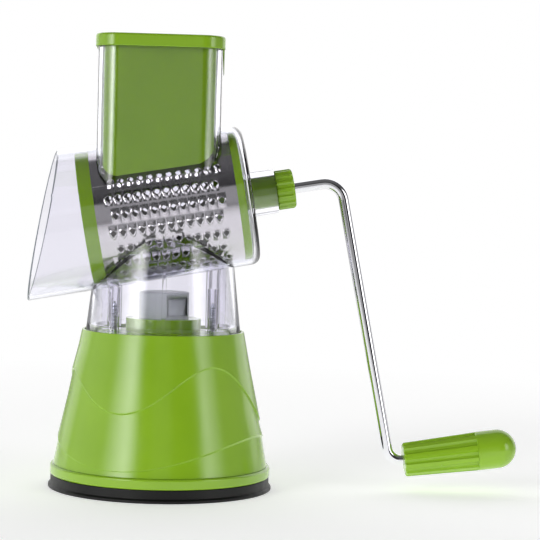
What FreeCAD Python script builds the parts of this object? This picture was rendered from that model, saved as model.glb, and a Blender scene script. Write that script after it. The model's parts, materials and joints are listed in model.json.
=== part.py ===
import FreeCAD, Part
import math
import os

# Rotary cabbage shredder: a clear drum housing with a square feed hopper on a green conical suction
# base. The origin is the centre of the suction pad's underside, +Z is up, +X points towards the crank
# and -Y is the front. All sizes are in millimetres and degrees.

# Clearances
RUNNING_GAP = 0.1
LOOSE_GAP = 0.3
SCREW_GAP = 0.05

# How near two places count as the same
TOLERANCE = 0.01

# Suction pad
PAD_RADIUS = 62.5
PAD_LIP_HEIGHT = 1.6
PAD_LIP_WIDTH = 1.3
PAD_LIP_SLOPE = 0.6
PAD_HEIGHT = 7.1
PAD_SHEET = 3.0
PAD_RIM_WIDTH = 4.5
PAD_POCKET_WALL = 2.7
PAD_POCKET_LIP = 3.3
PAD_POCKET_LIP_THICKNESS = 1.0

# Base plate
FLANGE_RADIUS = 61.6
FLANGE_HEIGHT = 5.9
FLANGE_WIDTH = 6.6
FLANGE_ROUNDING = 1.2
PLATE_THICKNESS = 2.5
PLATE_SPIGOT = 1.5
PLATE_SPIGOT_GAP = 0.6

# Base shell
CONE_BOTTOM_RADIUS = 59.9
CONE_TOP_RADIUS = 45.2
CONE_HEIGHT = 75.2
CONE_WALL = 2.5
DECK_RECESS = 2.0
DECK_THICKNESS = 2.5
DECK_BOSS_RADIUS = 21.0
DECK_BOSS_HEIGHT = 8.7
BASE_SCREW_COUNT = 4
BASE_SCREW_CIRCLE = 47.0
BASE_BOSS_RADIUS = 4.0
BASE_BOSS_LENGTH = 21.5
BASE_RIB = 2.5

# Self-tapping screws: radii of shank and head, height of the head, length of the shank
BASE_SCREW = {"shank": 1.75, "head": 3.5, "head_height": 2.2, "length": 16.0}
TOWER_SCREW = {"shank": 1.5, "head": 3.0, "head_height": 2.0, "length": 12.0}
FOOT_SCREW = {"shank": 2.0, "head": 4.0, "head_height": 2.4, "length": 20.0}
LEVER_SCREW = {"shank": 1.55, "head": 3.5, "head_height": 2.0, "length": 11.0}
SCREW_TIP_RADIUS = 0.3
CROSS_LENGTH = 3.6
CROSS_WIDTH = 0.8
CROSS_DEPTH = 1.2
PILOT_SPARE = 1.5

# Guide tower
TOWER_RADIUS = 14.0
TOWER_BORE = 11.0
TOWER_TOP = 109.6
TOWER_TOP_WALL = 2.5
TOWER_ROUNDING = 0.8
TOWER_FLANGE_RADIUS = 26.0
TOWER_FLANGE = 3.0
TOWER_SCREW_COUNT = 3
TOWER_SCREW_CIRCLE = 22.0
TOWER_BOSS_RADIUS = 3.5
TOWER_BOSS_LENGTH = 14.0
RECESS_LEFT = 2.5
RECESS_WIDTH = 10.0
RECESS_HEIGHT = 8.8
RECESS_FROM_TOP = 3.8
RECESS_DEPTH = 1.0

# Suction lever and plunger
LEVER_HEIGHT = 40.0
SHAFT_RADIUS = 6.0
SHAFT_INNER_END = 6.0
SHAFT_SQUARE = 8.0
SHAFT_SQUARE_LENGTH = 6.6
PIN_OFFSET = 3.0
PIN_RADIUS = 2.5
LEVER_TURN = 90.0
BUSH_RADIUS = 12.0
BUSH_FRONT = 44.0
BUSH_BACK = 57.6
CLIP_THICKNESS = 1.2
CLIP_RADIUS = 8.5
CLIP_GROOVE_RADIUS = 5.0
CLIP_MOUTH = 6.0
LEVER_HUB_RADIUS = 12.0
LEVER_HUB_LENGTH = 8.5
LEVER_REACH = 36.0
LEVER_ARM_WIDTH = 12.0
LEVER_ARM_THICKNESS = 6.0
LEVER_ARM_INSET = 0.5
LEVER_TIP_RADIUS = 8.0
LEVER_ROUNDING = 1.5
PLUNGER_ROD_RADIUS = 4.0
PLUNGER_FOOT_RADIUS = 15.5
PLUNGER_FOOT_THICKNESS = 2.5
PLUNGER_TOP = 100.0
YOKE_WIDTH = 19.0
YOKE_DEPTH = 10.0
YOKE_HEIGHT = 14.0
SLOT_GAP = 0.35
COLLAR_HEIGHT = 76.0
COLLAR_THICKNESS = 2.5
SEAT_THICKNESS = 1.2
SPRING_RADIUS = 7.4
SPRING_WIRE_RADIUS = 0.8
SPRING_TURNS = 7
POINTS_PER_TURN = 40

# Drum axis: it rises towards the crank and passes over the origin at this height
DRUM_TILT = 9.9
AXIS_HEIGHT = 156.9

# Drum housing: distances along the drum axis are counted from the point over the origin
BARREL_RADIUS = 39.4
BARREL_DRAFT = 0.6
BARREL_WALL = 2.2
BARREL_END = 47.8
BARREL_END_WALL = 2.5
BARREL_ROUNDING = 5.0
MOUTH_CENTRE = -69.6
MOUTH_SLANT = 19.5
BEARING_RADIUS = 12.6
BEARING_END = 61.9
BEARING_NARROWING = 0.3

# Clear foot
FOOT_BOTTOM_RADIUS = 43.5
FOOT_TAPER = 0.12
FOOT_TOP = 150.0
FOOT_WALL = 2.5
FOOT_RIB_WIDTH = 2.6
FOOT_RIB_DEPTH = 4.5
FOOT_SCREW_SPREAD = 27.5
FOOT_BOSS_RADIUS = 4.0
FOOT_PILOT_LENGTH = 25.4

# Feed hopper
HOPPER_WIDTH = 67.6
HOPPER_DEPTH = 73.0
HOPPER_CENTRE = -4.9
HOPPER_TOP = 243.5
HOPPER_WALL = 2.3
HOPPER_CORNER = 12.0

# Pusher
PUSHER_GAP = 1.0
PUSHER_WALL = 2.2
PUSHER_DRUM_GAP = 3.3
CAP_HEIGHT = 6.9
CAP_PLATE = 2.4
CAP_OVERHANG = 1.5
CAP_ROUNDING = 1.5
TAB_WIDTH = 12.0
TAB_DROP = 12.6
TAB_THICKNESS = 1.2

# Drum
DRUM_FRONT = -41.0
DRUM_BACK = 41.0
DRUM_FRONT_RADIUS = 36.0
DRUM_BACK_RADIUS = 34.9
DRUM_SHEET = 0.6
TOOTH_ROWS = 24
TEETH_PER_ROW = 12
TOOTH_PITCH = 5.27
TOOTH_HOLE_RADIUS = 1.5
FIRST_TOOTH = -27.5
RING_FRONT = -45.7
RING_WIDTH = 7.5
RING_RADIUS = 36.9
RING_LIP = 2.6
DISC_RADIUS = 35.7
DISC_WEB = 2.4
DISC_SKIRT = 1.7
SOCKET_WALL = 4.0
SOCKET_LENGTH = 15.6

# Crank hub
SPIGOT_RADIUS = 8.85
THREAD_RADIUS = 7.0
THREAD_LENGTH = 12.9
COLLAR_RADIUS = 11.0
COLLAR_LENGTH = 10.2
COLLAR_ROUNDING = 1.6
FLUTE_COUNT = 16
FLUTE_RADIUS = 1.5
FLUTE_DEPTH = 0.8

# Crank rod: the two corners are given along the drum axis and below it
ROD_RADIUS = 3.0
ROD_START = 45.0
ARM_TOP = 98.9
ARM_BOTTOM = 103.2
ARM_DROP = 160.7
UPPER_BEND = 11.0
LOWER_BEND = 8.0

# Grip
GRIP_TILT = 7.75
GRIP_START = 8.2
GRIP_LENGTH = 64.3
RIBBED_LENGTH = 41.5
GRIP_NARROW_RADIUS = 9.6
GRIP_WIDE_RADIUS = 10.9
GRIP_EDGE = 0.8
GRIP_SPIGOT = 5.5
GRIP_SPIGOT_RADIUS = 8.8
GRIP_ROD_GAP = 0.15
GROOVE_COUNT = 10
GROOVE_RADIUS = 1.7
GROOVE_DEPTH = 0.9
CAP_DOME_RADIUS = 11.0
CAP_BORE_DEPTH = 16.5
RETAINER_RADIUS = 6.0
RETAINER_THICKNESS = 1.2
ROD_OVERRUN = 2.5

# Heights worked out from the sizes above
FLANGE_TOP = PAD_HEIGHT + FLANGE_HEIGHT
PLATE_TOP = FLANGE_TOP + PLATE_SPIGOT
PLATE_BOTTOM = PLATE_TOP - PLATE_THICKNESS
RIM_TOP = FLANGE_TOP + CONE_HEIGHT
DECK_TOP = RIM_TOP - DECK_RECESS
DECK_BOTTOM = DECK_TOP - DECK_THICKNESS
TOWER_CEILING = TOWER_TOP - TOWER_TOP_WALL
PIN_START = -LEVER_TURN / 2
PIN_X = PIN_OFFSET * math.cos(math.radians(PIN_START))
PIN_Z = LEVER_HEIGHT + PIN_OFFSET * math.sin(math.radians(PIN_START))
PLUNGER_FOOT_BOTTOM = PAD_SHEET + LOOSE_GAP
PLUNGER_FOOT_TOP = PLUNGER_FOOT_BOTTOM + PLUNGER_FOOT_THICKNESS
SEAT_BOTTOM = COLLAR_HEIGHT + COLLAR_THICKNESS
SEAT_TOP = SEAT_BOTTOM + SEAT_THICKNESS
CAP_BOTTOM = HOPPER_TOP + LOOSE_GAP
CAP_TOP = CAP_BOTTOM + CAP_HEIGHT
CAP_CEILING = CAP_TOP - CAP_PLATE
DISC_BACK = DRUM_BACK + RUNNING_GAP + DISC_WEB
COLLAR_START = BEARING_END + LOOSE_GAP
COLLAR_END = COLLAR_START + COLLAR_LENGTH
HOPPER_LOW = AXIS_HEIGHT + RUNNING_GAP

# Directions
UP = FreeCAD.Vector(0, 0, 1)
BACK = FreeCAD.Vector(0, 1, 0)
ALONG = FreeCAD.Vector(1, 0, 0)
ORIGIN = FreeCAD.Vector(0, 0, 0)


def vec(x, y, z):
    return FreeCAD.Vector(x, y, z)


def turned_about_z(points):
    """Solid of revolution about Z from (radius, height) points."""
    corners = [vec(radius, 0, height) for radius, height in points]
    face = Part.Face(Part.makePolygon(corners + corners[:1]))
    return face.revolve(ORIGIN, UP, 360)


def turned_about_x(points):
    """Solid of revolution about X from (distance, radius) points."""
    corners = [vec(distance, 0, radius) for distance, radius in points]
    face = Part.Face(Part.makePolygon(corners + corners[:1]))
    return face.revolve(ORIGIN, ALONG, 360)


def rod_up(radius, low, high, x=0.0, y=0.0):
    return Part.makeCylinder(radius, high - low, vec(x, y, low), UP)


def rod_back(radius, front, back, x=0.0, z=0.0):
    return Part.makeCylinder(radius, back - front, vec(x, front, z), BACK)


def block(low, high):
    size = [high[i] - low[i] for i in range(3)]
    return Part.makeBox(size[0], size[1], size[2], vec(*low))


def rounded_block(width, depth, corner, low, high):
    """Upright block over the hopper's centre with rounded vertical edges."""
    left = HOPPER_CENTRE - width / 2
    shape = block((left, -depth / 2, low), (left + width, depth / 2, high))
    upright = [edge for edge in shape.Edges if abs(edge.Vertexes[0].Z - edge.Vertexes[1].Z) > TOLERANCE]
    return shape.makeFillet(corner, upright)


def ring_edges(shape, along, place, radius):
    """Round edges of the given radius that lie at one place along an axis."""
    found = []
    for edge in shape.Edges:
        curve = edge.Curve
        if not hasattr(curve, "Radius") or abs(curve.Radius - radius) > TOLERANCE:
            continue
        if abs(curve.Center.dot(along) - place) < TOLERANCE:
            found.append(edge)
    return found


def on_circle(count, radius, start):
    """Evenly spaced (x, y) places on a circle."""
    places = []
    for index in range(count):
        angle = math.radians(start + 360.0 * index / count)
        places.append((radius * math.cos(angle), radius * math.sin(angle)))
    return places


def on_drum_axis(shape):
    """Move a shape modelled along X to the tilted drum axis."""
    shape.rotate(ORIGIN, BACK, -DRUM_TILT)
    shape.translate(vec(0, 0, AXIS_HEIGHT))
    return shape


def drum_point(distance, height):
    """Point at a distance along the drum axis and a height square to it."""
    tilt = math.radians(DRUM_TILT)
    x = distance * math.cos(tilt) - height * math.sin(tilt)
    z = distance * math.sin(tilt) + height * math.cos(tilt)
    return vec(x, 0, AXIS_HEIGHT + z)


def screw(size, x, y, seat):
    """Self-tapping screw driven upwards, its head under the seat."""
    radius = size["shank"]
    head_low = seat - size["head_height"]
    tip_low = seat + size["length"] - radius
    head = rod_up(size["head"], head_low, seat, x, y)
    shank = rod_up(radius, seat, tip_low, x, y)
    tip = Part.makeCone(radius, SCREW_TIP_RADIUS, radius, vec(x, y, tip_low), UP)
    body = head.fuse([shank, tip])
    slots = []
    for turn in (0, 90):
        slot = block(
            (x - CROSS_LENGTH / 2, y - CROSS_WIDTH / 2, head_low),
            (x + CROSS_LENGTH / 2, y + CROSS_WIDTH / 2, head_low + CROSS_DEPTH),
        )
        slot.rotate(vec(x, y, 0), UP, turn)
        slots.append(slot)
    return body.cut(slots)


# Suction base

def make_suction_pad():
    rim_radius = PAD_RADIUS - PAD_LIP_WIDTH
    pocket = PLUNGER_FOOT_RADIUS + LOOSE_GAP
    lip_low = PAD_HEIGHT - PAD_POCKET_LIP_THICKNESS
    return turned_about_z([
        (0, 0), (PAD_RADIUS, 0), (PAD_RADIUS, PAD_LIP_HEIGHT),
        (rim_radius, PAD_LIP_HEIGHT + PAD_LIP_SLOPE), (rim_radius, PAD_HEIGHT),
        (rim_radius - PAD_RIM_WIDTH, PAD_HEIGHT), (rim_radius - PAD_RIM_WIDTH, PAD_SHEET),
        (pocket + PAD_POCKET_WALL, PAD_SHEET), (pocket + PAD_POCKET_WALL, PAD_HEIGHT),
        (pocket - PAD_POCKET_LIP, PAD_HEIGHT), (pocket - PAD_POCKET_LIP, lip_low),
        (pocket, lip_low), (pocket, PAD_SHEET), (0, PAD_SHEET),
    ])


def base_screw_places():
    return on_circle(BASE_SCREW_COUNT, BASE_SCREW_CIRCLE, 180.0 / BASE_SCREW_COUNT)


def tower_screw_places():
    return on_circle(TOWER_SCREW_COUNT, TOWER_SCREW_CIRCLE, -90.0)


def make_base_plate():
    plate_hole = TOWER_BORE + RUNNING_GAP
    spigot_radius = CONE_BOTTOM_RADIUS - CONE_WALL - PLATE_SPIGOT_GAP
    flange_inner = FLANGE_RADIUS - FLANGE_WIDTH
    plate = turned_about_z([
        (FLANGE_RADIUS, PAD_HEIGHT), (FLANGE_RADIUS, FLANGE_TOP), (spigot_radius, FLANGE_TOP),
        (spigot_radius, PLATE_TOP), (plate_hole, PLATE_TOP), (plate_hole, PLATE_BOTTOM),
        (flange_inner, PLATE_BOTTOM), (flange_inner, PAD_HEIGHT),
    ])
    edges = ring_edges(plate, UP, FLANGE_TOP, FLANGE_RADIUS)
    edges += ring_edges(plate, UP, PAD_HEIGHT, FLANGE_RADIUS)
    plate = plate.makeFillet(FLANGE_ROUNDING, edges)
    holes = []
    for x, y in base_screw_places():
        holes.append(rod_up(BASE_SCREW["shank"] + SCREW_GAP, PAD_HEIGHT, PLATE_TOP, x, y))
    for x, y in tower_screw_places():
        holes.append(rod_up(TOWER_SCREW["shank"] + SCREW_GAP, PAD_HEIGHT, PLATE_TOP, x, y))
    return plate.cut(holes)


def cone_radius(height):
    """Outer radius of the green cone at a height."""
    share = (height - FLANGE_TOP) / CONE_HEIGHT
    return CONE_BOTTOM_RADIUS + share * (CONE_TOP_RADIUS - CONE_BOTTOM_RADIUS)


def make_base_shell():
    rim_inner = FOOT_BOTTOM_RADIUS + LOOSE_GAP
    hub_hole = TOWER_RADIUS + LOOSE_GAP
    boss_top = DECK_TOP + DECK_BOSS_HEIGHT
    boss_inner = DECK_BOSS_RADIUS - CONE_WALL
    shell = turned_about_z([
        (CONE_BOTTOM_RADIUS, FLANGE_TOP), (CONE_TOP_RADIUS, RIM_TOP), (rim_inner, RIM_TOP),
        (rim_inner, DECK_TOP), (DECK_BOSS_RADIUS, DECK_TOP), (DECK_BOSS_RADIUS, boss_top),
        (hub_hole, boss_top), (hub_hole, boss_top - DECK_THICKNESS),
        (boss_inner, boss_top - DECK_THICKNESS), (boss_inner, DECK_BOTTOM),
        (cone_radius(DECK_BOTTOM) - CONE_WALL, DECK_BOTTOM), (CONE_BOTTOM_RADIUS - CONE_WALL, FLANGE_TOP),
    ])
    envelope = turned_about_z([
        (0, PLATE_TOP), (cone_radius(PLATE_TOP) - CONE_WALL / 2, PLATE_TOP),
        (cone_radius(DECK_BOTTOM) - CONE_WALL / 2, DECK_BOTTOM), (0, DECK_BOTTOM),
    ])
    boss_high = PLATE_TOP + BASE_BOSS_LENGTH
    added = []
    pilots = []
    for x, y in base_screw_places():
        boss = rod_up(BASE_BOSS_RADIUS, PLATE_TOP, boss_high, x, y)
        rib = block(
            (BASE_SCREW_CIRCLE, -BASE_RIB / 2, PLATE_TOP), (CONE_BOTTOM_RADIUS, BASE_RIB / 2, boss_high)
        )
        rib.rotate(ORIGIN, UP, math.degrees(math.atan2(y, x)))
        added.append(boss.fuse(rib).common(envelope))
        pilot_top = PLATE_BOTTOM + BASE_SCREW["length"] + PILOT_SPARE
        pilots.append(rod_up(BASE_SCREW["shank"] + SCREW_GAP, PLATE_TOP, pilot_top, x, y))
    added.append(rod_back(BUSH_RADIUS, BUSH_FRONT, BUSH_BACK, 0, LEVER_HEIGHT))
    pilots.append(rod_back(SHAFT_RADIUS + RUNNING_GAP, BUSH_FRONT, BUSH_BACK, 0, LEVER_HEIGHT))
    for side in (-1, 1):
        x = side * FOOT_SCREW_SPREAD
        pilots.append(rod_up(FOOT_SCREW["shank"] + SCREW_GAP, DECK_BOTTOM, DECK_TOP, x, 0))
    return shell.fuse(added).cut(pilots)


def make_guide_tower():
    tower = turned_about_z([
        (TOWER_BORE, PLATE_TOP), (TOWER_FLANGE_RADIUS, PLATE_TOP),
        (TOWER_FLANGE_RADIUS, PLATE_TOP + TOWER_FLANGE), (TOWER_RADIUS, PLATE_TOP + TOWER_FLANGE),
        (TOWER_RADIUS, TOWER_TOP), (0, TOWER_TOP), (0, TOWER_CEILING), (TOWER_BORE, TOWER_CEILING),
    ])
    tower = tower.makeFillet(TOWER_ROUNDING, ring_edges(tower, UP, TOWER_TOP, TOWER_RADIUS))
    bosses = []
    cuts = []
    for x, y in tower_screw_places():
        bosses.append(rod_up(TOWER_BOSS_RADIUS, PLATE_TOP, PLATE_TOP + TOWER_BOSS_LENGTH, x, y))
        pilot_top = PLATE_BOTTOM + TOWER_SCREW["length"] + PILOT_SPARE
        cuts.append(rod_up(TOWER_SCREW["shank"] + SCREW_GAP, PLATE_TOP, pilot_top, x, y))
    cuts.append(rod_back(SHAFT_RADIUS + RUNNING_GAP, 0, TOWER_RADIUS, 0, LEVER_HEIGHT))
    recess_top = TOWER_TOP - RECESS_FROM_TOP
    window = block(
        (RECESS_LEFT, -TOWER_RADIUS, recess_top - RECESS_HEIGHT),
        (RECESS_LEFT + RECESS_WIDTH, 0, recess_top),
    )
    window = window.cut(rod_up(TOWER_RADIUS - RECESS_DEPTH, 0, TOWER_TOP))
    cuts.append(window)
    return tower.fuse(bosses).cut(cuts)


def make_plunger():
    yoke_low = PIN_Z - YOKE_HEIGHT / 2
    yoke_high = PIN_Z + YOKE_HEIGHT / 2
    foot = rod_up(PLUNGER_FOOT_RADIUS, PLUNGER_FOOT_BOTTOM, PLUNGER_FOOT_TOP)
    rod = rod_up(PLUNGER_ROD_RADIUS, PLUNGER_FOOT_TOP, PLUNGER_TOP)
    collar = rod_up(TOWER_BORE - LOOSE_GAP, COLLAR_HEIGHT, SEAT_BOTTOM)
    yoke = block((-YOKE_WIDTH / 2, -YOKE_DEPTH / 2, yoke_low), (YOKE_WIDTH / 2, YOKE_DEPTH / 2, yoke_high))
    slot_reach = PIN_OFFSET + PIN_RADIUS + SLOT_GAP
    slot_half = PIN_RADIUS + SLOT_GAP
    slot = block(
        (-slot_reach, -YOKE_DEPTH / 2, PIN_Z - slot_half),
        (slot_reach, YOKE_DEPTH / 2, PIN_Z + slot_half),
    )
    return foot.fuse([rod, collar, yoke]).cut(slot)


def make_spring_seat():
    outer = rod_up(TOWER_BORE - LOOSE_GAP, SEAT_BOTTOM, SEAT_TOP)
    return outer.cut(rod_up(PLUNGER_ROD_RADIUS + RUNNING_GAP, SEAT_BOTTOM, SEAT_TOP))


def biarc_edges(start, start_way, end, end_way):
    """Two arcs that leave start and reach end along the given unit directions."""
    chord = end - start
    ways = start_way + end_way
    a = 2.0 * (1.0 - start_way.dot(end_way))
    b = 2.0 * chord.dot(ways)
    c = -chord.dot(chord)
    reach = (-b + math.sqrt(b * b - 4.0 * a * c)) / (2.0 * a)
    middle = (start + start_way * reach + end - end_way * reach) * 0.5
    edges = []
    for first, way, last in ((start, start_way, middle), (end, end_way * -1.0, middle)):
        span = last - first
        across = span - way * span.dot(way)
        radius = span.dot(span) / (2.0 * across.Length)
        centre = first + across * (radius / across.Length)
        halfway = (first + last) * 0.5 - centre
        top = centre + halfway * (radius / halfway.Length)
        edges.append(Part.Arc(first, top, last).toShape())
    return edges


def make_plunger_spring():
    """Open coil between the seat on the plunger and the tower's closed top."""
    low = SEAT_TOP + SPRING_WIRE_RADIUS + RUNNING_GAP
    high = TOWER_CEILING - SPRING_WIRE_RADIUS - RUNNING_GAP
    steps = SPRING_TURNS * 4
    slope = (high - low) / (2.0 * math.pi * SPRING_TURNS)

    def place(step):
        angle = math.pi / 2 * step
        return vec(SPRING_RADIUS * math.cos(angle), SPRING_RADIUS * math.sin(angle), low + slope * angle)

    def way(step):
        angle = math.pi / 2 * step
        direction = vec(-SPRING_RADIUS * math.sin(angle), SPRING_RADIUS * math.cos(angle), slope)
        return direction.normalize()

    edges = []
    for step in range(steps):
        edges += biarc_edges(place(step), way(step), place(step + 1), way(step + 1))
    path = Part.Wire(Part.__sortEdges__(edges))
    section = Part.Wire(Part.makeCircle(SPRING_WIRE_RADIUS, place(0), way(0)))
    coil = path.makePipeShell([section], True, False)
    points = path.discretize(Number=SPRING_TURNS * POINTS_PER_TURN)
    apart = POINTS_PER_TURN // 2
    nearest = min(
        point.distanceToPoint(other) for index, point in enumerate(points) for other in points[index + apart:]
    )
    expected = math.pi * SPRING_WIRE_RADIUS ** 2 * path.Length
    print("spring: least gap %.2f, volume %.1f, section times length %.1f" % (
        nearest - 2 * SPRING_WIRE_RADIUS, coil.Volume, expected))
    return coil


def make_lever_shaft():
    square_back = BUSH_BACK + LOOSE_GAP + SHAFT_SQUARE_LENGTH
    body = rod_back(SHAFT_RADIUS, SHAFT_INNER_END, BUSH_BACK + LOOSE_GAP, 0, LEVER_HEIGHT)
    half = SHAFT_SQUARE / 2
    square = block(
        (-half, BUSH_BACK, LEVER_HEIGHT - half), (half, square_back, LEVER_HEIGHT + half)
    )
    pin = rod_back(PIN_RADIUS, -SHAFT_INNER_END, SHAFT_INNER_END, PIN_X, PIN_Z)
    groove_back = BUSH_FRONT - LOOSE_GAP + RUNNING_GAP
    groove_front = groove_back - CLIP_THICKNESS - 2 * RUNNING_GAP
    groove = rod_back(2 * SHAFT_RADIUS, groove_front, groove_back, 0, LEVER_HEIGHT)
    groove = groove.cut(rod_back(CLIP_GROOVE_RADIUS, groove_front, groove_back, 0, LEVER_HEIGHT))
    hole_front = square_back - LEVER_SCREW["length"] - PILOT_SPARE
    screw_hole = rod_back(LEVER_SCREW["shank"] + SCREW_GAP, hole_front, square_back, 0, LEVER_HEIGHT)
    return body.fuse([square, pin]).cut([groove, screw_hole])


def make_shaft_clip():
    back = BUSH_FRONT - LOOSE_GAP
    front = back - CLIP_THICKNESS
    ring = rod_back(CLIP_RADIUS, front, back, 0, LEVER_HEIGHT)
    ring = ring.cut(rod_back(CLIP_GROOVE_RADIUS + SCREW_GAP, front, back, 0, LEVER_HEIGHT))
    low = LEVER_HEIGHT - CLIP_RADIUS
    return ring.cut(block((-CLIP_MOUTH / 2, front, low), (CLIP_MOUTH / 2, back, LEVER_HEIGHT)))


def lever_faces():
    """Front and back of the lever's hub."""
    front = BUSH_BACK + LOOSE_GAP
    return front, front + LEVER_HUB_LENGTH


def make_suction_lever():
    front, back = lever_faces()
    arm_back = back - LEVER_ARM_INSET
    arm_front = arm_back - LEVER_ARM_THICKNESS
    half = LEVER_ARM_WIDTH / 2
    hub = rod_back(LEVER_HUB_RADIUS, front, back, 0, LEVER_HEIGHT)
    arm = block((0, arm_front, LEVER_HEIGHT - half), (LEVER_REACH, arm_back, LEVER_HEIGHT + half))
    tip = rod_back(LEVER_TIP_RADIUS, arm_front, arm_back, LEVER_REACH, LEVER_HEIGHT)
    tip = tip.makeFillet(LEVER_ROUNDING, ring_edges(tip, BACK, arm_back, LEVER_TIP_RADIUS))
    hub = hub.makeFillet(LEVER_ROUNDING, ring_edges(hub, BACK, back, LEVER_HUB_RADIUS))
    side = SHAFT_SQUARE / 2 + SCREW_GAP
    socket_back = front + SHAFT_SQUARE_LENGTH + RUNNING_GAP
    socket = block((-side, front, LEVER_HEIGHT - side), (side, socket_back, LEVER_HEIGHT + side))
    hole = rod_back(LEVER_SCREW["shank"] + SCREW_GAP, front, back, 0, LEVER_HEIGHT)
    return hub.fuse([arm, tip]).cut([socket, hole])


def make_lever_screw():
    seat = lever_faces()[1]
    pointing_back = screw(LEVER_SCREW, 0.0, 0.0, 0.0)
    pointing_back.rotate(ORIGIN, ALONG, 90)
    pointing_back.translate(vec(0, seat, LEVER_HEIGHT))
    return pointing_back


# Clear housing

def barrel_radius(distance):
    """Outer radius of the barrel, which narrows a little towards the crank."""
    return BARREL_RADIUS - distance * math.tan(math.radians(BARREL_DRAFT))


def barrel_solid(inset):
    """Barrel's outside as a solid, drawn in by an inset, from past the mouth to the end wall."""
    far = MOUTH_CENTRE - BARREL_RADIUS
    end = BARREL_END - (BARREL_END_WALL if inset else 0.0)
    radius = barrel_radius(end) - inset
    solid = turned_about_x([(far, 0), (far, barrel_radius(far) - inset), (end, radius), (end, 0)])
    rounding = BARREL_ROUNDING - inset
    return solid.makeFillet(rounding, ring_edges(solid, ALONG, end, radius))


def make_drum_housing():
    outside = barrel_solid(0.0)
    root = BARREL_END - BARREL_END_WALL / 2
    bearing = turned_about_x([
        (root, 0), (root, BEARING_RADIUS), (BEARING_END, BEARING_RADIUS - BEARING_NARROWING),
        (BEARING_END, 0),
    ])
    bore_radius = SPIGOT_RADIUS + RUNNING_GAP
    bore = turned_about_x([(0, 0), (0, bore_radius), (BEARING_END, bore_radius), (BEARING_END, 0)])
    far = 4 * BARREL_RADIUS
    beyond_mouth = block((-far, -far, -far), (0, far, far))
    beyond_mouth.rotate(ORIGIN, BACK, MOUTH_SLANT)
    beyond_mouth.translate(vec(MOUTH_CENTRE, 0, 0))
    housing = outside.fuse(bearing).cut([barrel_solid(BARREL_WALL), bore, beyond_mouth])
    return on_drum_axis(housing).cut(hopper_inside(HOPPER_LOW, HOPPER_TOP))


def hopper_inside(low, high):
    """Block that fills the hopper between two heights."""
    return rounded_block(
        HOPPER_WIDTH - 2 * HOPPER_WALL, HOPPER_DEPTH - 2 * HOPPER_WALL, HOPPER_CORNER - HOPPER_WALL, low, high
    )


def make_feed_hopper():
    outside = rounded_block(HOPPER_WIDTH, HOPPER_DEPTH, HOPPER_CORNER, HOPPER_LOW, HOPPER_TOP)
    return outside.cut([hopper_inside(HOPPER_LOW, HOPPER_TOP), on_drum_axis(barrel_solid(0.0))])


def foot_radius(height):
    return FOOT_BOTTOM_RADIUS - FOOT_TAPER * (height - DECK_TOP)


def make_housing_foot():
    wall = turned_about_z([
        (foot_radius(DECK_TOP), DECK_TOP), (foot_radius(FOOT_TOP), FOOT_TOP),
        (foot_radius(FOOT_TOP) - FOOT_WALL, FOOT_TOP), (foot_radius(DECK_TOP) - FOOT_WALL, DECK_TOP),
    ])
    envelope = turned_about_z([
        (0, DECK_TOP), (foot_radius(DECK_TOP) - FOOT_WALL / 2, DECK_TOP),
        (foot_radius(FOOT_TOP) - FOOT_WALL / 2, FOOT_TOP), (0, FOOT_TOP),
    ])
    added = []
    for side in (-1, 1):
        added.append(rod_up(FOOT_BOSS_RADIUS, DECK_TOP, FOOT_TOP, side * FOOT_SCREW_SPREAD, 0))
        web = block(
            (FOOT_SCREW_SPREAD, -FOOT_RIB_WIDTH / 2, DECK_TOP),
            (FOOT_BOTTOM_RADIUS, FOOT_RIB_WIDTH / 2, FOOT_TOP),
        )
        web = web.common(envelope)
        if side < 0:
            web.rotate(ORIGIN, UP, 180)
        added.append(web)
        rib = block(
            (-FOOT_RIB_WIDTH / 2, 0, DECK_TOP), (FOOT_RIB_WIDTH / 2, FOOT_BOTTOM_RADIUS, FOOT_TOP)
        )
        core = turned_about_z([
            (0, DECK_TOP), (foot_radius(DECK_TOP) - FOOT_RIB_DEPTH, DECK_TOP),
            (foot_radius(FOOT_TOP) - FOOT_RIB_DEPTH, FOOT_TOP), (0, FOOT_TOP),
        ])
        rib = rib.common(envelope).cut(core)
        if side < 0:
            rib.rotate(ORIGIN, UP, 180)
        added.append(rib)
    cuts = [on_drum_axis(barrel_solid(0.0))]
    for side in (-1, 1):
        pilot_high = DECK_TOP + FOOT_PILOT_LENGTH
        pilot = rod_up(FOOT_SCREW["shank"] + SCREW_GAP, DECK_TOP, pilot_high, side * FOOT_SCREW_SPREAD, 0)
        cuts.append(pilot)
    return wall.fuse(added).cut(cuts)


# Pusher

def pusher_block(inset, low, high):
    shrink = 2 * (HOPPER_WALL + PUSHER_GAP + inset)
    corner = HOPPER_CORNER - HOPPER_WALL - PUSHER_GAP - inset
    return rounded_block(HOPPER_WIDTH - shrink, HOPPER_DEPTH - shrink, corner, low, high)


def drum_sweep(radius):
    """Cylinder along the drum axis that the pusher's bottom is cut to."""
    length = 4 * HOPPER_WIDTH
    return on_drum_axis(Part.makeCylinder(radius, length, vec(-length / 2, 0, 0), ALONG))


def make_pusher_body():
    radius = DRUM_FRONT_RADIUS + PUSHER_DRUM_GAP
    top = CAP_CEILING - RUNNING_GAP
    outside = pusher_block(0.0, HOPPER_LOW, top).cut(drum_sweep(radius))
    inside = pusher_block(PUSHER_WALL, HOPPER_LOW, top).cut(drum_sweep(radius + PUSHER_WALL))
    return outside.cut(inside)


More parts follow.
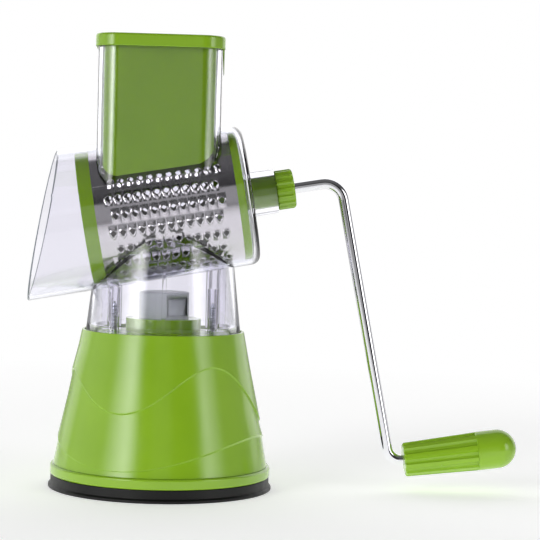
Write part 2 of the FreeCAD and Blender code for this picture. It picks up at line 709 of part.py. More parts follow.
def make_pusher_cap():
    width = HOPPER_WIDTH + 2 * CAP_OVERHANG
    depth = HOPPER_DEPTH + 2 * CAP_OVERHANG
    cap = rounded_block(width, depth, HOPPER_CORNER + CAP_OVERHANG, CAP_BOTTOM, CAP_TOP)
    top_edges = [edge for edge in cap.Edges if all(abs(v.Z - CAP_TOP) < TOLERANCE for v in edge.Vertexes)]
    cap = cap.makeFillet(CAP_ROUNDING, top_edges)
    pocket = pusher_block(-SCREW_GAP, CAP_BOTTOM, CAP_CEILING)
    outer = HOPPER_CENTRE + width / 2
    half = TAB_WIDTH / 2
    low = CAP_BOTTOM - TAB_DROP
    tab = block((outer - TAB_THICKNESS, -half, low), (outer, half, CAP_BOTTOM + TAB_THICKNESS))
    return cap.cut(pocket).fuse(tab)


# Drum and crank

def sleeve_radius(distance):
    share = (distance - DRUM_FRONT) / (DRUM_BACK - DRUM_FRONT)
    return DRUM_FRONT_RADIUS + share * (DRUM_BACK_RADIUS - DRUM_FRONT_RADIUS)


def make_drum_sleeve():
    sleeve = turned_about_x([
        (DRUM_FRONT, DRUM_FRONT_RADIUS), (DRUM_BACK, DRUM_BACK_RADIUS),
        (DRUM_BACK, DRUM_BACK_RADIUS - DRUM_SHEET), (DRUM_FRONT, DRUM_FRONT_RADIUS - DRUM_SHEET),
    ])
    holes = []
    for row in range(TOOTH_ROWS):
        angle = 2.0 * math.pi * row / TOOTH_ROWS
        outward = vec(0, -math.cos(angle), math.sin(angle))
        start = FIRST_TOOTH - (TOOTH_PITCH / 2 if row % 2 else 0.0)
        for tooth in range(TEETH_PER_ROW):
            distance = start + tooth * TOOTH_PITCH
            inner = sleeve_radius(distance) - 2 * DRUM_SHEET
            foot = vec(distance, 0, 0) + outward * inner
            holes.append(Part.makeCylinder(TOOTH_HOLE_RADIUS, 3 * DRUM_SHEET, foot, outward))
    return on_drum_axis(sleeve.cut(holes))


def make_drum_front_ring():
    back = RING_FRONT + RING_WIDTH
    stop = DRUM_FRONT - RUNNING_GAP
    grip = DRUM_FRONT_RADIUS + SCREW_GAP
    inner = DRUM_FRONT_RADIUS - RING_LIP
    ring = turned_about_x([
        (RING_FRONT, RING_RADIUS), (back, RING_RADIUS), (back, grip), (stop, grip), (stop, inner),
        (RING_FRONT, inner),
    ])
    return on_drum_axis(ring)


def make_drum_back_disc():
    skirt_front = DRUM_BACK - DISC_SKIRT
    skirt_inner = sleeve_radius(skirt_front) + SCREW_GAP
    web_front = DRUM_BACK + RUNNING_GAP
    bore = THREAD_RADIUS + RUNNING_GAP
    socket_front = DISC_BACK - SOCKET_LENGTH
    disc = turned_about_x([
        (skirt_front, skirt_inner), (skirt_front, DISC_RADIUS), (DISC_BACK, DISC_RADIUS),
        (DISC_BACK, bore), (socket_front, bore), (socket_front, bore + SOCKET_WALL),
        (web_front, bore + SOCKET_WALL), (web_front, skirt_inner),
    ])
    return on_drum_axis(disc)


def make_crank_hub():
    spigot_start = DISC_BACK + LOOSE_GAP
    thread_start = spigot_start - THREAD_LENGTH
    hub = turned_about_x([
        (thread_start, 0), (thread_start, THREAD_RADIUS), (spigot_start, THREAD_RADIUS),
        (spigot_start, SPIGOT_RADIUS), (COLLAR_START, SPIGOT_RADIUS), (COLLAR_START, COLLAR_RADIUS),
        (COLLAR_END, COLLAR_RADIUS), (COLLAR_END, ROD_RADIUS), (ROD_START, ROD_RADIUS), (ROD_START, 0),
    ])
    hub = hub.makeFillet(COLLAR_ROUNDING, ring_edges(hub, ALONG, COLLAR_END, COLLAR_RADIUS))
    flutes = []
    circle = COLLAR_RADIUS + FLUTE_RADIUS - FLUTE_DEPTH
    for y, z in on_circle(FLUTE_COUNT, circle, 0.0):
        flutes.append(Part.makeCylinder(FLUTE_RADIUS, COLLAR_LENGTH, vec(COLLAR_START, y, z), ALONG))
    return on_drum_axis(hub.cut(flutes))


def grip_way():
    """Direction of the grip's axis."""
    tilt = math.radians(GRIP_TILT)
    return vec(math.cos(tilt), 0, math.sin(tilt))


def grip_origin():
    return drum_point(ARM_BOTTOM, -ARM_DROP) + grip_way() * GRIP_START


def bend(before, corner, after, radius):
    """Arc that rounds a corner of a path, with its two ends."""
    to_before = (before - corner).normalize()
    to_after = (after - corner).normalize()
    half_turn = to_before.getAngle(to_after) / 2.0
    reach = radius / math.tan(half_turn)
    inward = (to_before + to_after).normalize()
    start = corner + to_before * reach
    end = corner + to_after * reach
    middle = corner + inward * (radius / math.sin(half_turn) - radius)
    return start, Part.Arc(start, middle, end).toShape(), end


def retainer_start():
    return RIBBED_LENGTH + GRIP_SPIGOT + LOOSE_GAP


def make_crank_rod():
    first = drum_point(ROD_START, 0)
    upper = drum_point(ARM_TOP, 0)
    lower = drum_point(ARM_BOTTOM, -ARM_DROP)
    last = grip_origin() + grip_way() * (retainer_start() + RETAINER_THICKNESS + ROD_OVERRUN)
    upper_start, upper_arc, upper_end = bend(first, upper, lower, UPPER_BEND)
    lower_start, lower_arc, lower_end = bend(upper, lower, last, LOWER_BEND)
    edges = [
        Part.LineSegment(first, upper_start).toShape(), upper_arc,
        Part.LineSegment(upper_end, lower_start).toShape(), lower_arc,
        Part.LineSegment(lower_end, last).toShape(),
    ]
    section = Part.Wire(Part.makeCircle(ROD_RADIUS, first, upper - first))
    return Part.Wire(edges).makePipeShell([section], True, False)


def on_grip_axis(shape):
    """Move a shape modelled along X to the grip's axis."""
    shape.rotate(ORIGIN, BACK, -GRIP_TILT)
    shape.translate(grip_origin())
    return shape


def make_grip_sleeve():
    bore = ROD_RADIUS + GRIP_ROD_GAP
    end = RIBBED_LENGTH + GRIP_SPIGOT
    sleeve = turned_about_x([
        (0, bore), (0, GRIP_NARROW_RADIUS - GRIP_EDGE), (GRIP_EDGE, GRIP_NARROW_RADIUS),
        (RIBBED_LENGTH, GRIP_WIDE_RADIUS), (RIBBED_LENGTH, GRIP_SPIGOT_RADIUS), (end, GRIP_SPIGOT_RADIUS),
        (end, bore),
    ])
    grooves = []
    slope = math.degrees(math.atan((GRIP_WIDE_RADIUS - GRIP_NARROW_RADIUS) / RIBBED_LENGTH))
    reach = 2 * GRIP_WIDE_RADIUS
    ribbed_part = block((-reach, -reach, 0), (RIBBED_LENGTH, reach, reach))
    height = GRIP_NARROW_RADIUS + GROOVE_RADIUS - GROOVE_DEPTH
    for index in range(GROOVE_COUNT):
        groove = Part.makeCylinder(GROOVE_RADIUS, 2 * RIBBED_LENGTH, vec(-RIBBED_LENGTH, 0, 0), ALONG)
        groove.rotate(ORIGIN, BACK, -slope)
        groove.translate(vec(0, 0, height))
        groove = groove.common(ribbed_part)
        groove.rotate(ORIGIN, ALONG, 360.0 * index / GROOVE_COUNT)
        grooves.append(groove)
    return on_grip_axis(sleeve.cut(grooves))


def make_grip_cap():
    dome_start = GRIP_LENGTH - CAP_DOME_RADIUS
    skirt = Part.makeCylinder(CAP_DOME_RADIUS, dome_start - RIBBED_LENGTH, vec(RIBBED_LENGTH, 0, 0), ALONG)
    dome = Part.makeSphere(CAP_DOME_RADIUS, vec(dome_start, 0, 0))
    bore = GRIP_SPIGOT_RADIUS + SCREW_GAP
    hollow = Part.makeCylinder(bore, CAP_BORE_DEPTH, vec(RIBBED_LENGTH, 0, 0), ALONG)
    return on_grip_axis(skirt.fuse(dome).cut(hollow))


def make_grip_retainer():
    start = vec(retainer_start(), 0, 0)
    washer = Part.makeCylinder(RETAINER_RADIUS, RETAINER_THICKNESS, start, ALONG)
    return on_grip_axis(washer.cut(Part.makeCylinder(ROD_RADIUS, RETAINER_THICKNESS, start, ALONG)))


# Screws that repeat share one file as separate solids

def make_base_screws():
    return Part.makeCompound([screw(BASE_SCREW, x, y, PLATE_BOTTOM) for x, y in base_screw_places()])


def make_tower_screws():
    return Part.makeCompound([screw(TOWER_SCREW, x, y, PLATE_BOTTOM) for x, y in tower_screw_places()])


def make_foot_screws():
    spread = (-FOOT_SCREW_SPREAD, FOOT_SCREW_SPREAD)
    return Part.makeCompound([screw(FOOT_SCREW, x, 0.0, DECK_BOTTOM) for x in spread])


PIECES = {
    "suction_pad": make_suction_pad,
    "base_plate": make_base_plate,
    "base_shell": make_base_shell,
    "base_screws": make_base_screws,
    "guide_tower": make_guide_tower,
    "tower_screws": make_tower_screws,
    "plunger": make_plunger,
    "spring_seat": make_spring_seat,
    "plunger_spring": make_plunger_spring,
    "lever_shaft": make_lever_shaft,
    "shaft_clip": make_shaft_clip,
    "suction_lever": make_suction_lever,
    "lever_screw": make_lever_screw,
    "housing_foot": make_housing_foot,
    "foot_screws": make_foot_screws,
    "drum_housing": make_drum_housing,
    "feed_hopper": make_feed_hopper,
    "pusher_body": make_pusher_body,
    "pusher_cap": make_pusher_cap,
    "drum_sleeve": make_drum_sleeve,
    "drum_front_ring": make_drum_front_ring,
    "drum_back_disc": make_drum_back_disc,
    "crank_hub": make_crank_hub,
    "crank_rod": make_crank_rod,
    "grip_sleeve": make_grip_sleeve,
    "grip_cap": make_grip_cap,
    "grip_retainer": make_grip_retainer,
}

os.makedirs("parts", exist_ok=True)
for name, make in PIECES.items():
    shape = make()
    box = shape.BoundBox
    print("%-16s solids %d valid %s volume %.0f  x %.1f %.1f  y %.1f %.1f  z %.1f %.1f" % (
        name, len(shape.Solids), shape.isValid(), shape.Volume,
        box.XMin, box.XMax, box.YMin, box.YMax, box.ZMin, box.ZMax))
    shape.exportStep("parts/%s.step" % name)
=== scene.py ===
import json
import math

import bmesh
import bpy
from mathutils import Matrix, Vector


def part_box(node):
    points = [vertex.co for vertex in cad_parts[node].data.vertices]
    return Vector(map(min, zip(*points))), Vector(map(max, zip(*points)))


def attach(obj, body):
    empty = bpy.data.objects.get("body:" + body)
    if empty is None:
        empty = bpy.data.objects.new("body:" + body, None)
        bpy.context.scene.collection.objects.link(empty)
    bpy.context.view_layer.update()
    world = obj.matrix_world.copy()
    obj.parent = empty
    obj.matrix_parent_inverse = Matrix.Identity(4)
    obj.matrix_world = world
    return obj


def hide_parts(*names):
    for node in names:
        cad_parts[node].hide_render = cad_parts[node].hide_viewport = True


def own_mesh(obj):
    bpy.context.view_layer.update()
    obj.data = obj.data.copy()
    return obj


# Looks of the rotary cabbage shredder. Pieces are made in millimetres, in the frame's own axes, and are
# brought to metres when they are finished. +Z is up, +X points towards the crank and -Y is the front.

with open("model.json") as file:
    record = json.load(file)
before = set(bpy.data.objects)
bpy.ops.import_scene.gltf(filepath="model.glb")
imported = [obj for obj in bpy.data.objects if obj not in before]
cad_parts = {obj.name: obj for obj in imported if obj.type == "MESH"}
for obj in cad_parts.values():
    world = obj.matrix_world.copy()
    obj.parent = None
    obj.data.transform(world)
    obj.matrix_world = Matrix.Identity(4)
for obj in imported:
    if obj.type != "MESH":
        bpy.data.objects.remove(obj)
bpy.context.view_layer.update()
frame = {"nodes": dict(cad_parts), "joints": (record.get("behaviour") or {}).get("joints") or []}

MM = 0.001
UP = Vector((0, 0, 1))
ALONG = Vector((1, 0, 0))

# Round shapes are turned in this many steps
TURN_STEPS = 144
FINE_STEPS = 192


def node_box(node):
    """Lowest and highest corner of a CAD node, in millimetres."""
    low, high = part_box(node)
    return low / MM, high / MM


# Places read from the frame
JOINTS = {joint["name"]: joint for joint in frame["joints"]}
DRUM_TILT = math.atan2(JOINTS["drum_turn"]["axis"][2], JOINTS["drum_turn"]["axis"][0])
AXIS_HEIGHT = JOINTS["drum_turn"]["pos_m"][2] / MM
GRIP_TILT = math.atan2(JOINTS["grip_turn"]["axis"][2], JOINTS["grip_turn"]["axis"][0])
GRIP_START = Vector(JOINTS["grip_turn"]["pos_m"]) / MM
PAD_HIGH = node_box("suction_pad")[1]
SHELL_LOW, SHELL_HIGH = node_box("base_shell")
FOOT_LOW = node_box("housing_foot")[0]
HOPPER_LOW, HOPPER_HIGH = node_box("feed_hopper")
BODY_LOW, BODY_HIGH = node_box("pusher_body")
CAP_LOW, CAP_HIGH = node_box("pusher_cap")
SCREWS_LOW, SCREWS_HIGH = node_box("foot_screws")
HOPPER_CENTRE = (HOPPER_LOW.x + HOPPER_HIGH.x) / 2
DRUM_TURN = Matrix.Rotation(-DRUM_TILT, 3, "Y")
DRUM_PLACE = Vector((0, 0, AXIS_HEIGHT))
GRIP_TURN = Matrix.Rotation(-GRIP_TILT, 3, "Y")

# Places this close count as the same, cutters reach this far past what they cut, and shapes to be joined
# are kept this far apart where their faces would lie in one plane
SAME = 0.1
PAST = 5.0
APART = 0.01

# Sizes that the frame's boxes don't give, as in the part
PAD_LIP_HEIGHT = 1.6
PAD_LIP_WIDTH = 1.3
PAD_LIP_SLOPE = 0.6
PAD_ROUNDING = 0.4
RIM_RADIUS = 45.2
RIM_TOP = 88.2
RIM_SEAT_RADIUS = 43.8
SHELL_WALL = 2.5
SHELL_ROUNDING = 0.35
DECK_BOSS_RADIUS = 21.0
HUB_RADIUS = 14.0
HUB_HOLE_RADIUS = 14.3
BARREL_RADIUS = 39.4
BARREL_DRAFT = math.radians(0.6)
BARREL_WALL = 2.2
BARREL_END = 47.8
BARREL_END_WALL = 2.5
BARREL_ROUNDING = 5.0
MOUTH_CENTRE = -69.6
MOUTH_SLANT = math.radians(19.5)
MOUTH_NORMAL = Vector((-math.cos(MOUTH_SLANT), 0, math.sin(MOUTH_SLANT)))
MOUTH_ROUNDING = 0.6
BEARING_RADIUS = 12.6
BEARING_END = 61.9
BEARING_NARROWING = 0.3
BEARING_BORE = 8.95
FOOT_RADIUS = 43.5
FOOT_TAPER = 0.12
FOOT_TOP = 150.0
FOOT_WALL = 2.5
FOOT_RIB_WIDTH = 2.6
FOOT_RIB_DEPTH = 4.5
FOOT_RIB_DRAFT = 0.65
FOOT_RING_WIDTH = 4.5
FOOT_RING_HEIGHT = 5.0
FOOT_BOSS_RADIUS = 4.0
FOOT_PILOT_RADIUS = 2.05
FOOT_PILOT_LENGTH = 25.4
SCREW_SPREAD = 27.5
HOPPER_CORNER = 12.0
HOPPER_WALL = 2.3
HOPPER_ROUNDING = 0.4
PUSHER_CORNER = 8.7
PUSHER_DRUM_RADIUS = 39.3
CAP_CORNER = 13.5
CAP_HEIGHT = 6.9
CAP_TOP_ROUNDING = 1.5
CAP_BOTTOM_ROUNDING = 0.5
TAB_WIDTH = 12.0
TAB_THICKNESS = 1.2
TAB_TAPER = 0.8
TAB_ROUNDING = 0.1
DRUM_FRONT = -41.0
DRUM_BACK = 41.0
DRUM_FRONT_RADIUS = 36.0
DRUM_BACK_RADIUS = 34.9
DRUM_SHEET = 0.6
TOOTH_ROWS = 24
TEETH_PER_ROW = 12
TOOTH_PITCH = 5.27
FIRST_TOOTH = -27.5
RING_FRONT = -45.7
RING_WIDTH = 7.5
RING_RADIUS = 36.9
RING_LIP = 2.6
RING_ROUNDING = 0.7
RING_CLEARANCE = 0.05
DISC_BACK = 43.5
SPIGOT_RADIUS = 8.85
COLLAR_RADIUS = 11.0
COLLAR_START = 62.2
COLLAR_END = 72.4
COLLAR_ROUNDING = 1.6
FLUTE_COUNT = 16
FLUTE_DEPTH = 0.9
ROD_RADIUS = 3.0
RIBBED_LENGTH = 41.5
GRIP_LENGTH = 64.3
GRIP_NARROW_RADIUS = 9.6
GRIP_WIDE_RADIUS = 10.9
GROOVE_COUNT = 10
GROOVE_DEPTH = 1.3
GROOVE_STEEPNESS = 1.8
CAP_DOME_RADIUS = 11.0
CAP_CHAMFER = 0.4


# Materials

NOISE = "ShaderNodeTexNoise"
RANGE = "ShaderNodeMapRange"
MIX = "ShaderNodeMix"
BUMP = "ShaderNodeBump"
MATH = "ShaderNodeMath"
PRINCIPLED = "ShaderNodeBsdfPrincipled"


def colour(code):
    """Linear colour of an sRGB hex value."""
    parts = [int(code[start:start + 2], 16) / 255 for start in (0, 2, 4)]
    linear = [part / 12.92 if part <= 0.04045 else ((part + 0.055) / 1.055) ** 2.4 for part in parts]
    return (*linear, 1.0)


def add(tree, kind, settings=(), links=()):
    """Node of a kind with its settings and links. A node given as a link stands for its first output."""
    node = tree.nodes.new(kind)
    for name, value in dict(settings).items():
        if isinstance(name, int) or name in node.inputs:
            node.inputs[name].default_value = value
        else:
            setattr(node, name, value)
    for name, source in dict(links).items():
        if isinstance(source, bpy.types.Node):
            source = next(output for output in source.outputs if output.enabled)
        tree.links.new(source, node.inputs[name])
    return node


def grain(size, detail=2.0):
    """Settings of a pattern whose features are this many millimetres, on Object coordinates."""
    return {"Scale": 1.0 / (size * MM), "Detail": detail}


def between(low, high, start=0.3, end=0.7):
    """Settings that bring a value from start and end to low and high."""
    return {"From Min": start, "From Max": end, "To Min": low, "To Max": high}


def tones(one, other):
    """Settings of a blend of two colours."""
    return {"data_type": "RGBA", "A": colour(one), "B": colour(other)}


def new_material(name):
    material = bpy.data.materials.new(name)
    material.use_nodes = True
    tree = material.node_tree
    tree.nodes.clear()
    return material, tree, add(tree, "ShaderNodeTexCoord").outputs["Object"]


def finish_material(tree, shader):
    add(tree, "ShaderNodeOutputMaterial", links={"Surface": shader})


def lime_green_abs():
    """Injection-moulded ABS: even bright colour, high gloss with a faint orange peel, a little handled."""
    material, tree, place = new_material("lime_green_moulded_abs")
    flow = add(tree, NOISE, grain(38.0), {"Vector": place})
    share = add(tree, RANGE, between(0.0, 1.0), {"Value": flow})
    tone = add(tree, MIX, tones("8AB424", "83AD20"), {"Factor": share})
    handled = add(tree, NOISE, grain(9.0, 4.0), {"Vector": place})
    gloss = add(tree, RANGE, between(0.16, 0.22), {"Value": handled})
    peel = add(tree, NOISE, grain(1.4, 1.0), {"Vector": place})
    relief = add(tree, BUMP, {"Distance": 0.004 * MM}, {"Height": peel})
    shader = add(
        tree, PRINCIPLED, {"IOR": 1.53}, {"Base Color": tone, "Roughness": gloss, "Normal": relief}
    )
    finish_material(tree, shader)
    return material


def clear_styrene():
    """Clear moulded styrene plastic: glossy, faintly lavender, blue-grey where it is seen along its wall."""
    material, tree, place = new_material("clear_moulded_styrene")
    along = add(tree, "ShaderNodeLayerWeight", {"Blend": 0.5}).outputs["Facing"]
    share = add(tree, RANGE, between(0.0, 1.0, 0.5, 1.0), {"Value": along})
    tone = add(tree, MIX, tones("F7F6FC", "BCC3D0"), {"Factor": share})
    shader = add(
        tree, PRINCIPLED, {"Roughness": 0.0, "IOR": 1.5, "Transmission Weight": 1.0}, {"Base Color": tone}
    )
    ray = add(tree, "ShaderNodeLightPath")
    passing = add(tree, "ShaderNodeBsdfTransparent", {"Color": colour("DCDCE4")})
    mixed = add(
        tree, "ShaderNodeMixShader", links={0: ray.outputs["Is Shadow Ray"], 1: shader, 2: passing}
    )
    finish_material(tree, mixed)
    return material


def sawn_styrene():
    """Cut edge of clear styrene: slightly frosted, so it shows as a thin grey line."""
    material, tree, place = new_material("sawn_styrene_edge")
    saw = add(tree, NOISE, grain(0.8), {"Vector": place})
    frost = add(tree, RANGE, between(0.3, 0.5), {"Value": saw})
    shader = add(
        tree, PRINCIPLED, {"Base Color": colour("8E95A0"), "IOR": 1.5, "Transmission Weight": 0.45},
        {"Roughness": frost},
    )
    finish_material(tree, shader)
    return material


def metal(name, tint, size, detail, smooth, rough):
    """Metal of one tint whose roughness varies over features of a size in millimetres."""
    material, tree, place = new_material(name)
    haze = add(tree, NOISE, grain(size, detail), {"Vector": place})
    dullness = add(tree, RANGE, between(smooth, rough), {"Value": haze})
    shader = add(tree, PRINCIPLED, {"Base Color": colour(tint), "Metallic": 1.0}, {"Roughness": dullness})
    finish_material(tree, shader)
    return material, tree, place, shader


def steel_darkened_by_painted_shade():
    """Inside of the punched sheet: rough with fine scratches; its dark colour is painted shade for the
    inside of the drum.
    """
    return metal("stainless_inside_painted_shade", "5C5B5A", 0.6, 3.0, 0.4, 0.6)[0]


def polished_steel():
    """Rolled and polished stainless sheet: mirror-like with a faint roll grain and water-spot haze."""
    material, tree, place, shader = metal("polished_stainless_sheet", "D4D2D1", 6.0, 3.0, 0.09, 0.16)
    rolled = add(tree, "ShaderNodeMapping", {"Scale": (0.08, 1.0, 1.0)}, {"Vector": place})
    lines = add(tree, NOISE, grain(0.5), {"Vector": rolled})
    relief = add(tree, BUMP, {"Distance": 0.002 * MM}, {"Height": lines})
    tree.links.new(relief.outputs["Normal"], shader.inputs["Normal"])
    return material


def chrome():
    """Chrome-plated rod: a near-perfect mirror with the slightest haze."""
    return metal("chrome_plating", "E2E2E6", 12.0, 3.0, 0.03, 0.07)[0]


def zinc_steel():
    """Zinc-plated screw steel: pale, slightly blue, satin with crystal mottling."""
    return metal("zinc_plated_steel", "BFC3C8", 1.2, 3.0, 0.22, 0.38)[0]


def black_rubber():
    """Moulded black rubber: nearly black, satin, with a little dust on it."""
    material, tree, place = new_material("moulded_black_rubber")
    dust = add(tree, NOISE, grain(0.9, 4.0), {"Vector": place})
    specks = add(tree, RANGE, between(0.0, 1.0, 0.68, 0.76), {"Value": dust})
    tone = add(tree, MIX, tones("0D0D0D", "2B2B2A"), {"Factor": specks})
    haze = add(tree, NOISE, grain(7.0, 3.0), {"Vector": place})
    satin = add(tree, RANGE, between(0.42, 0.56), {"Value": haze})
    relief = add(tree, BUMP, {"Distance": 0.02 * MM}, {"Height": dust})
    shader = add(
        tree, PRINCIPLED, {"IOR": 1.52, "Specular IOR Level": 0.25},
        {"Base Color": tone, "Roughness": satin, "Normal": relief},
    )
    finish_material(tree, shader)
    return material


def grey_polypropylene():
    """Natural grey polypropylene: milky and softly glossy, with a faint cloudiness."""
    material, tree, place = new_material("grey_polypropylene")
    cloud = add(tree, NOISE, grain(14.0), {"Vector": place})
    share = add(tree, RANGE, between(0.0, 1.0), {"Value": cloud})
    tone = add(tree, MIX, tones("D0D3D4", "C6CACC"), {"Factor": share})
    satin = add(tree, RANGE, between(0.3, 0.4), {"Value": cloud})
    skin = add(tree, NOISE, grain(0.7), {"Vector": place})
    relief = add(tree, BUMP, {"Distance": 0.01 * MM}, {"Height": skin})
    shader = add(
        tree, PRINCIPLED, {"IOR": 1.49}, {"Base Color": tone, "Roughness": satin, "Normal": relief}
    )
    finish_material(tree, shader)
    return material


green = lime_green_abs()
clear = clear_styrene()
sawn = sawn_styrene()
steel = polished_steel()
# Steel for the sheet's inside, its dark colour painted shade
shade_painted_steel = steel_darkened_by_painted_shade()
mirror = chrome()
zinc = zinc_steel()
rubber = black_rubber()
grey = grey_polypropylene()


# Making and finishing pieces

def turned(points, steps=TURN_STEPS, axis=ALONG):
    """Closed shape turned about an axis through the origin, from (distance along, radius) points."""
    bm = bmesh.new()
    if axis == UP:
        verts = [bm.verts.new((radius, 0, distance)) for distance, radius in points]
    else:
        verts = [bm.verts.new((distance, 0, radius)) for distance, radius in points]
    on_axis = points[0][1] == 0 and points[-1][1] == 0
    pairs = list(zip(verts, verts[1:]))
    if not on_axis:
        pairs.append((verts[-1], verts[0]))
    edges = [bm.edges.new(pair) for pair in pairs]
    bmesh.ops.spin(
        bm, geom=verts + edges, cent=(0, 0, 0), axis=axis, angle=2 * math.pi, steps=steps, use_merge=True
    )
    tidy(bm)
    return bm


def tidy(bm):
    """Merge doubled places and turn all faces outwards."""
    bmesh.ops.remove_doubles(bm, verts=bm.verts, dist=0.002)
    bmesh.ops.recalc_face_normals(bm, faces=bm.faces)


def round_edges(bm, edges, radius, segments=3):
    bmesh.ops.bevel(
        bm, geom=edges, offset=radius, segments=segments, profile=0.5, affect="EDGES", material=-1,
        offset_type="OFFSET", clamp_overlap=True,
    )


def sharp_edges(bm, angle=40):
    """Edges where two faces meet at more than an angle in degrees."""
    limit = math.radians(angle)
    return [edge for edge in bm.edges if len(edge.link_faces) == 2 and edge.calc_face_angle() > limit]


def place_on_drum(bm):
    """Bring a shape modelled along X to the drum's tilted axis."""
    bmesh.ops.rotate(bm, cent=(0, 0, 0), matrix=DRUM_TURN, verts=bm.verts)
    bmesh.ops.translate(bm, vec=DRUM_PLACE, verts=bm.verts)


def place_on_grip(bm):
    """Bring a shape modelled along X to the grip's axis."""
    bmesh.ops.rotate(bm, cent=(0, 0, 0), matrix=GRIP_TURN, verts=bm.verts)
    bmesh.ops.translate(bm, vec=GRIP_START, verts=bm.verts)


def level_edges(bm, height):
    """Edges that lie level at a height."""
    return [edge for edge in bm.edges if all(abs(vert.co.z - height) < SAME for vert in edge.verts)]


def copy_of_node(node):
    """Bmesh of a CAD node in millimetres, its loose triangles merged."""
    bm = bmesh.new()
    bm.from_mesh(frame["nodes"][node].data)
    bmesh.ops.scale(bm, vec=(1 / MM, 1 / MM, 1 / MM), verts=bm.verts)
    bmesh.ops.remove_doubles(bm, verts=bm.verts, dist=0.002)
    return bm


def to_object(bm, name):
    """Object with the bmesh's shape, still in millimetres."""
    mesh = bpy.data.meshes.new(name)
    bm.to_mesh(mesh)
    bm.free()
    piece = bpy.data.objects.new(name, mesh)
    bpy.context.scene.collection.objects.link(piece)
    return piece


def combine(piece, others, operation):
    """Join or cut a piece with other objects, which are then removed."""
    for other in others:
        step = piece.modifiers.new("step", "BOOLEAN")
        step.operation = operation
        step.solver = "MANIFOLD"
        step.object = other
    depsgraph = bpy.context.evaluated_depsgraph_get()
    mesh = bpy.data.meshes.new_from_object(piece.evaluated_get(depsgraph))
    piece.modifiers.clear()
    piece.data = mesh
    for other in others:
        bpy.data.objects.remove(other)
    return piece


def finish(piece, body, material, replaced=(), sharp=30, flat=True):
    """Bring a piece to metres, give it its material and let it ride on its body."""
    mesh = piece.data
    mesh.transform(Matrix.Scale(MM, 4))
    mesh.materials.clear()
    mesh.materials.append(material)
    mesh.shade_smooth()
    mesh.set_sharp_from_angle(angle=math.radians(sharp))
    if flat:
        even = piece.modifiers.new("even_shading", "WEIGHTED_NORMAL")
        even.keep_sharp = True
        even.weight = 100
    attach(piece, body)
    if replaced:
        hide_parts(*replaced)
    return piece


def rounded_block(width, depth, corner, low, high, centre=HOPPER_CENTRE, segments=10):
    """Upright block with rounded vertical edges."""
    bm = bmesh.new()
    bmesh.ops.create_cube(bm, size=1.0)
    bmesh.ops.scale(bm, vec=(width, depth, high - low), verts=bm.verts)
    bmesh.ops.translate(bm, vec=(centre, 0, (low + high) / 2), verts=bm.verts)
    upright = [edge for edge in bm.edges if abs(edge.verts[0].co.z - edge.verts[1].co.z) > 1.0]
    round_edges(bm, upright, corner, segments)
    return bm


# Suction base

def make_suction_cup():
    radius = PAD_HIGH.x
    rim = radius - PAD_LIP_WIDTH
    bm = turned(
        [
            (0, 0), (0, radius), (PAD_LIP_HEIGHT, radius), (PAD_LIP_HEIGHT + PAD_LIP_SLOPE, rim),
            (PAD_HIGH.z, rim), (PAD_HIGH.z, 0),
        ],
        FINE_STEPS, UP,
    )
    round_edges(bm, sharp_edges(bm), PAD_ROUNDING)
    finish(to_object(bm, "suction_cup"), "base", rubber, ["suction_pad"])


# Two waves run round the base. Above each the surface stands proud and falls back upwards
WAVES = (
    {"height": 24.1, "swings": ((2, 8.2, -24.8),)},
    {"height": 56.4, "swings": ((3, 14.4, -22.0), (2, 5.1, 84.2))},
)
WAVE_DEPTH = 0.75
WAVE_FADE = 19.0
WAVE_EDGE = 0.55
# How far the rings of points near each wave lie from its edge, and how far they stay under the rim
WAVE_RINGS = (-6.0, -WAVE_EDGE, -WAVE_EDGE / 2, 0.0, WAVE_EDGE / 2, 3.0, 8.0, 14.0, 20.0)
RIM_MARGIN = 3.0
RIM_BAND = 1.0


def wave_height(wave, angle):
    """Height of a wave's edge at an angle from the front, in degrees."""
    height = wave["height"]
    for count, swing, low_at in wave["swings"]:
        height -= swing * math.cos(math.radians(count * (angle - low_at)))
    return height


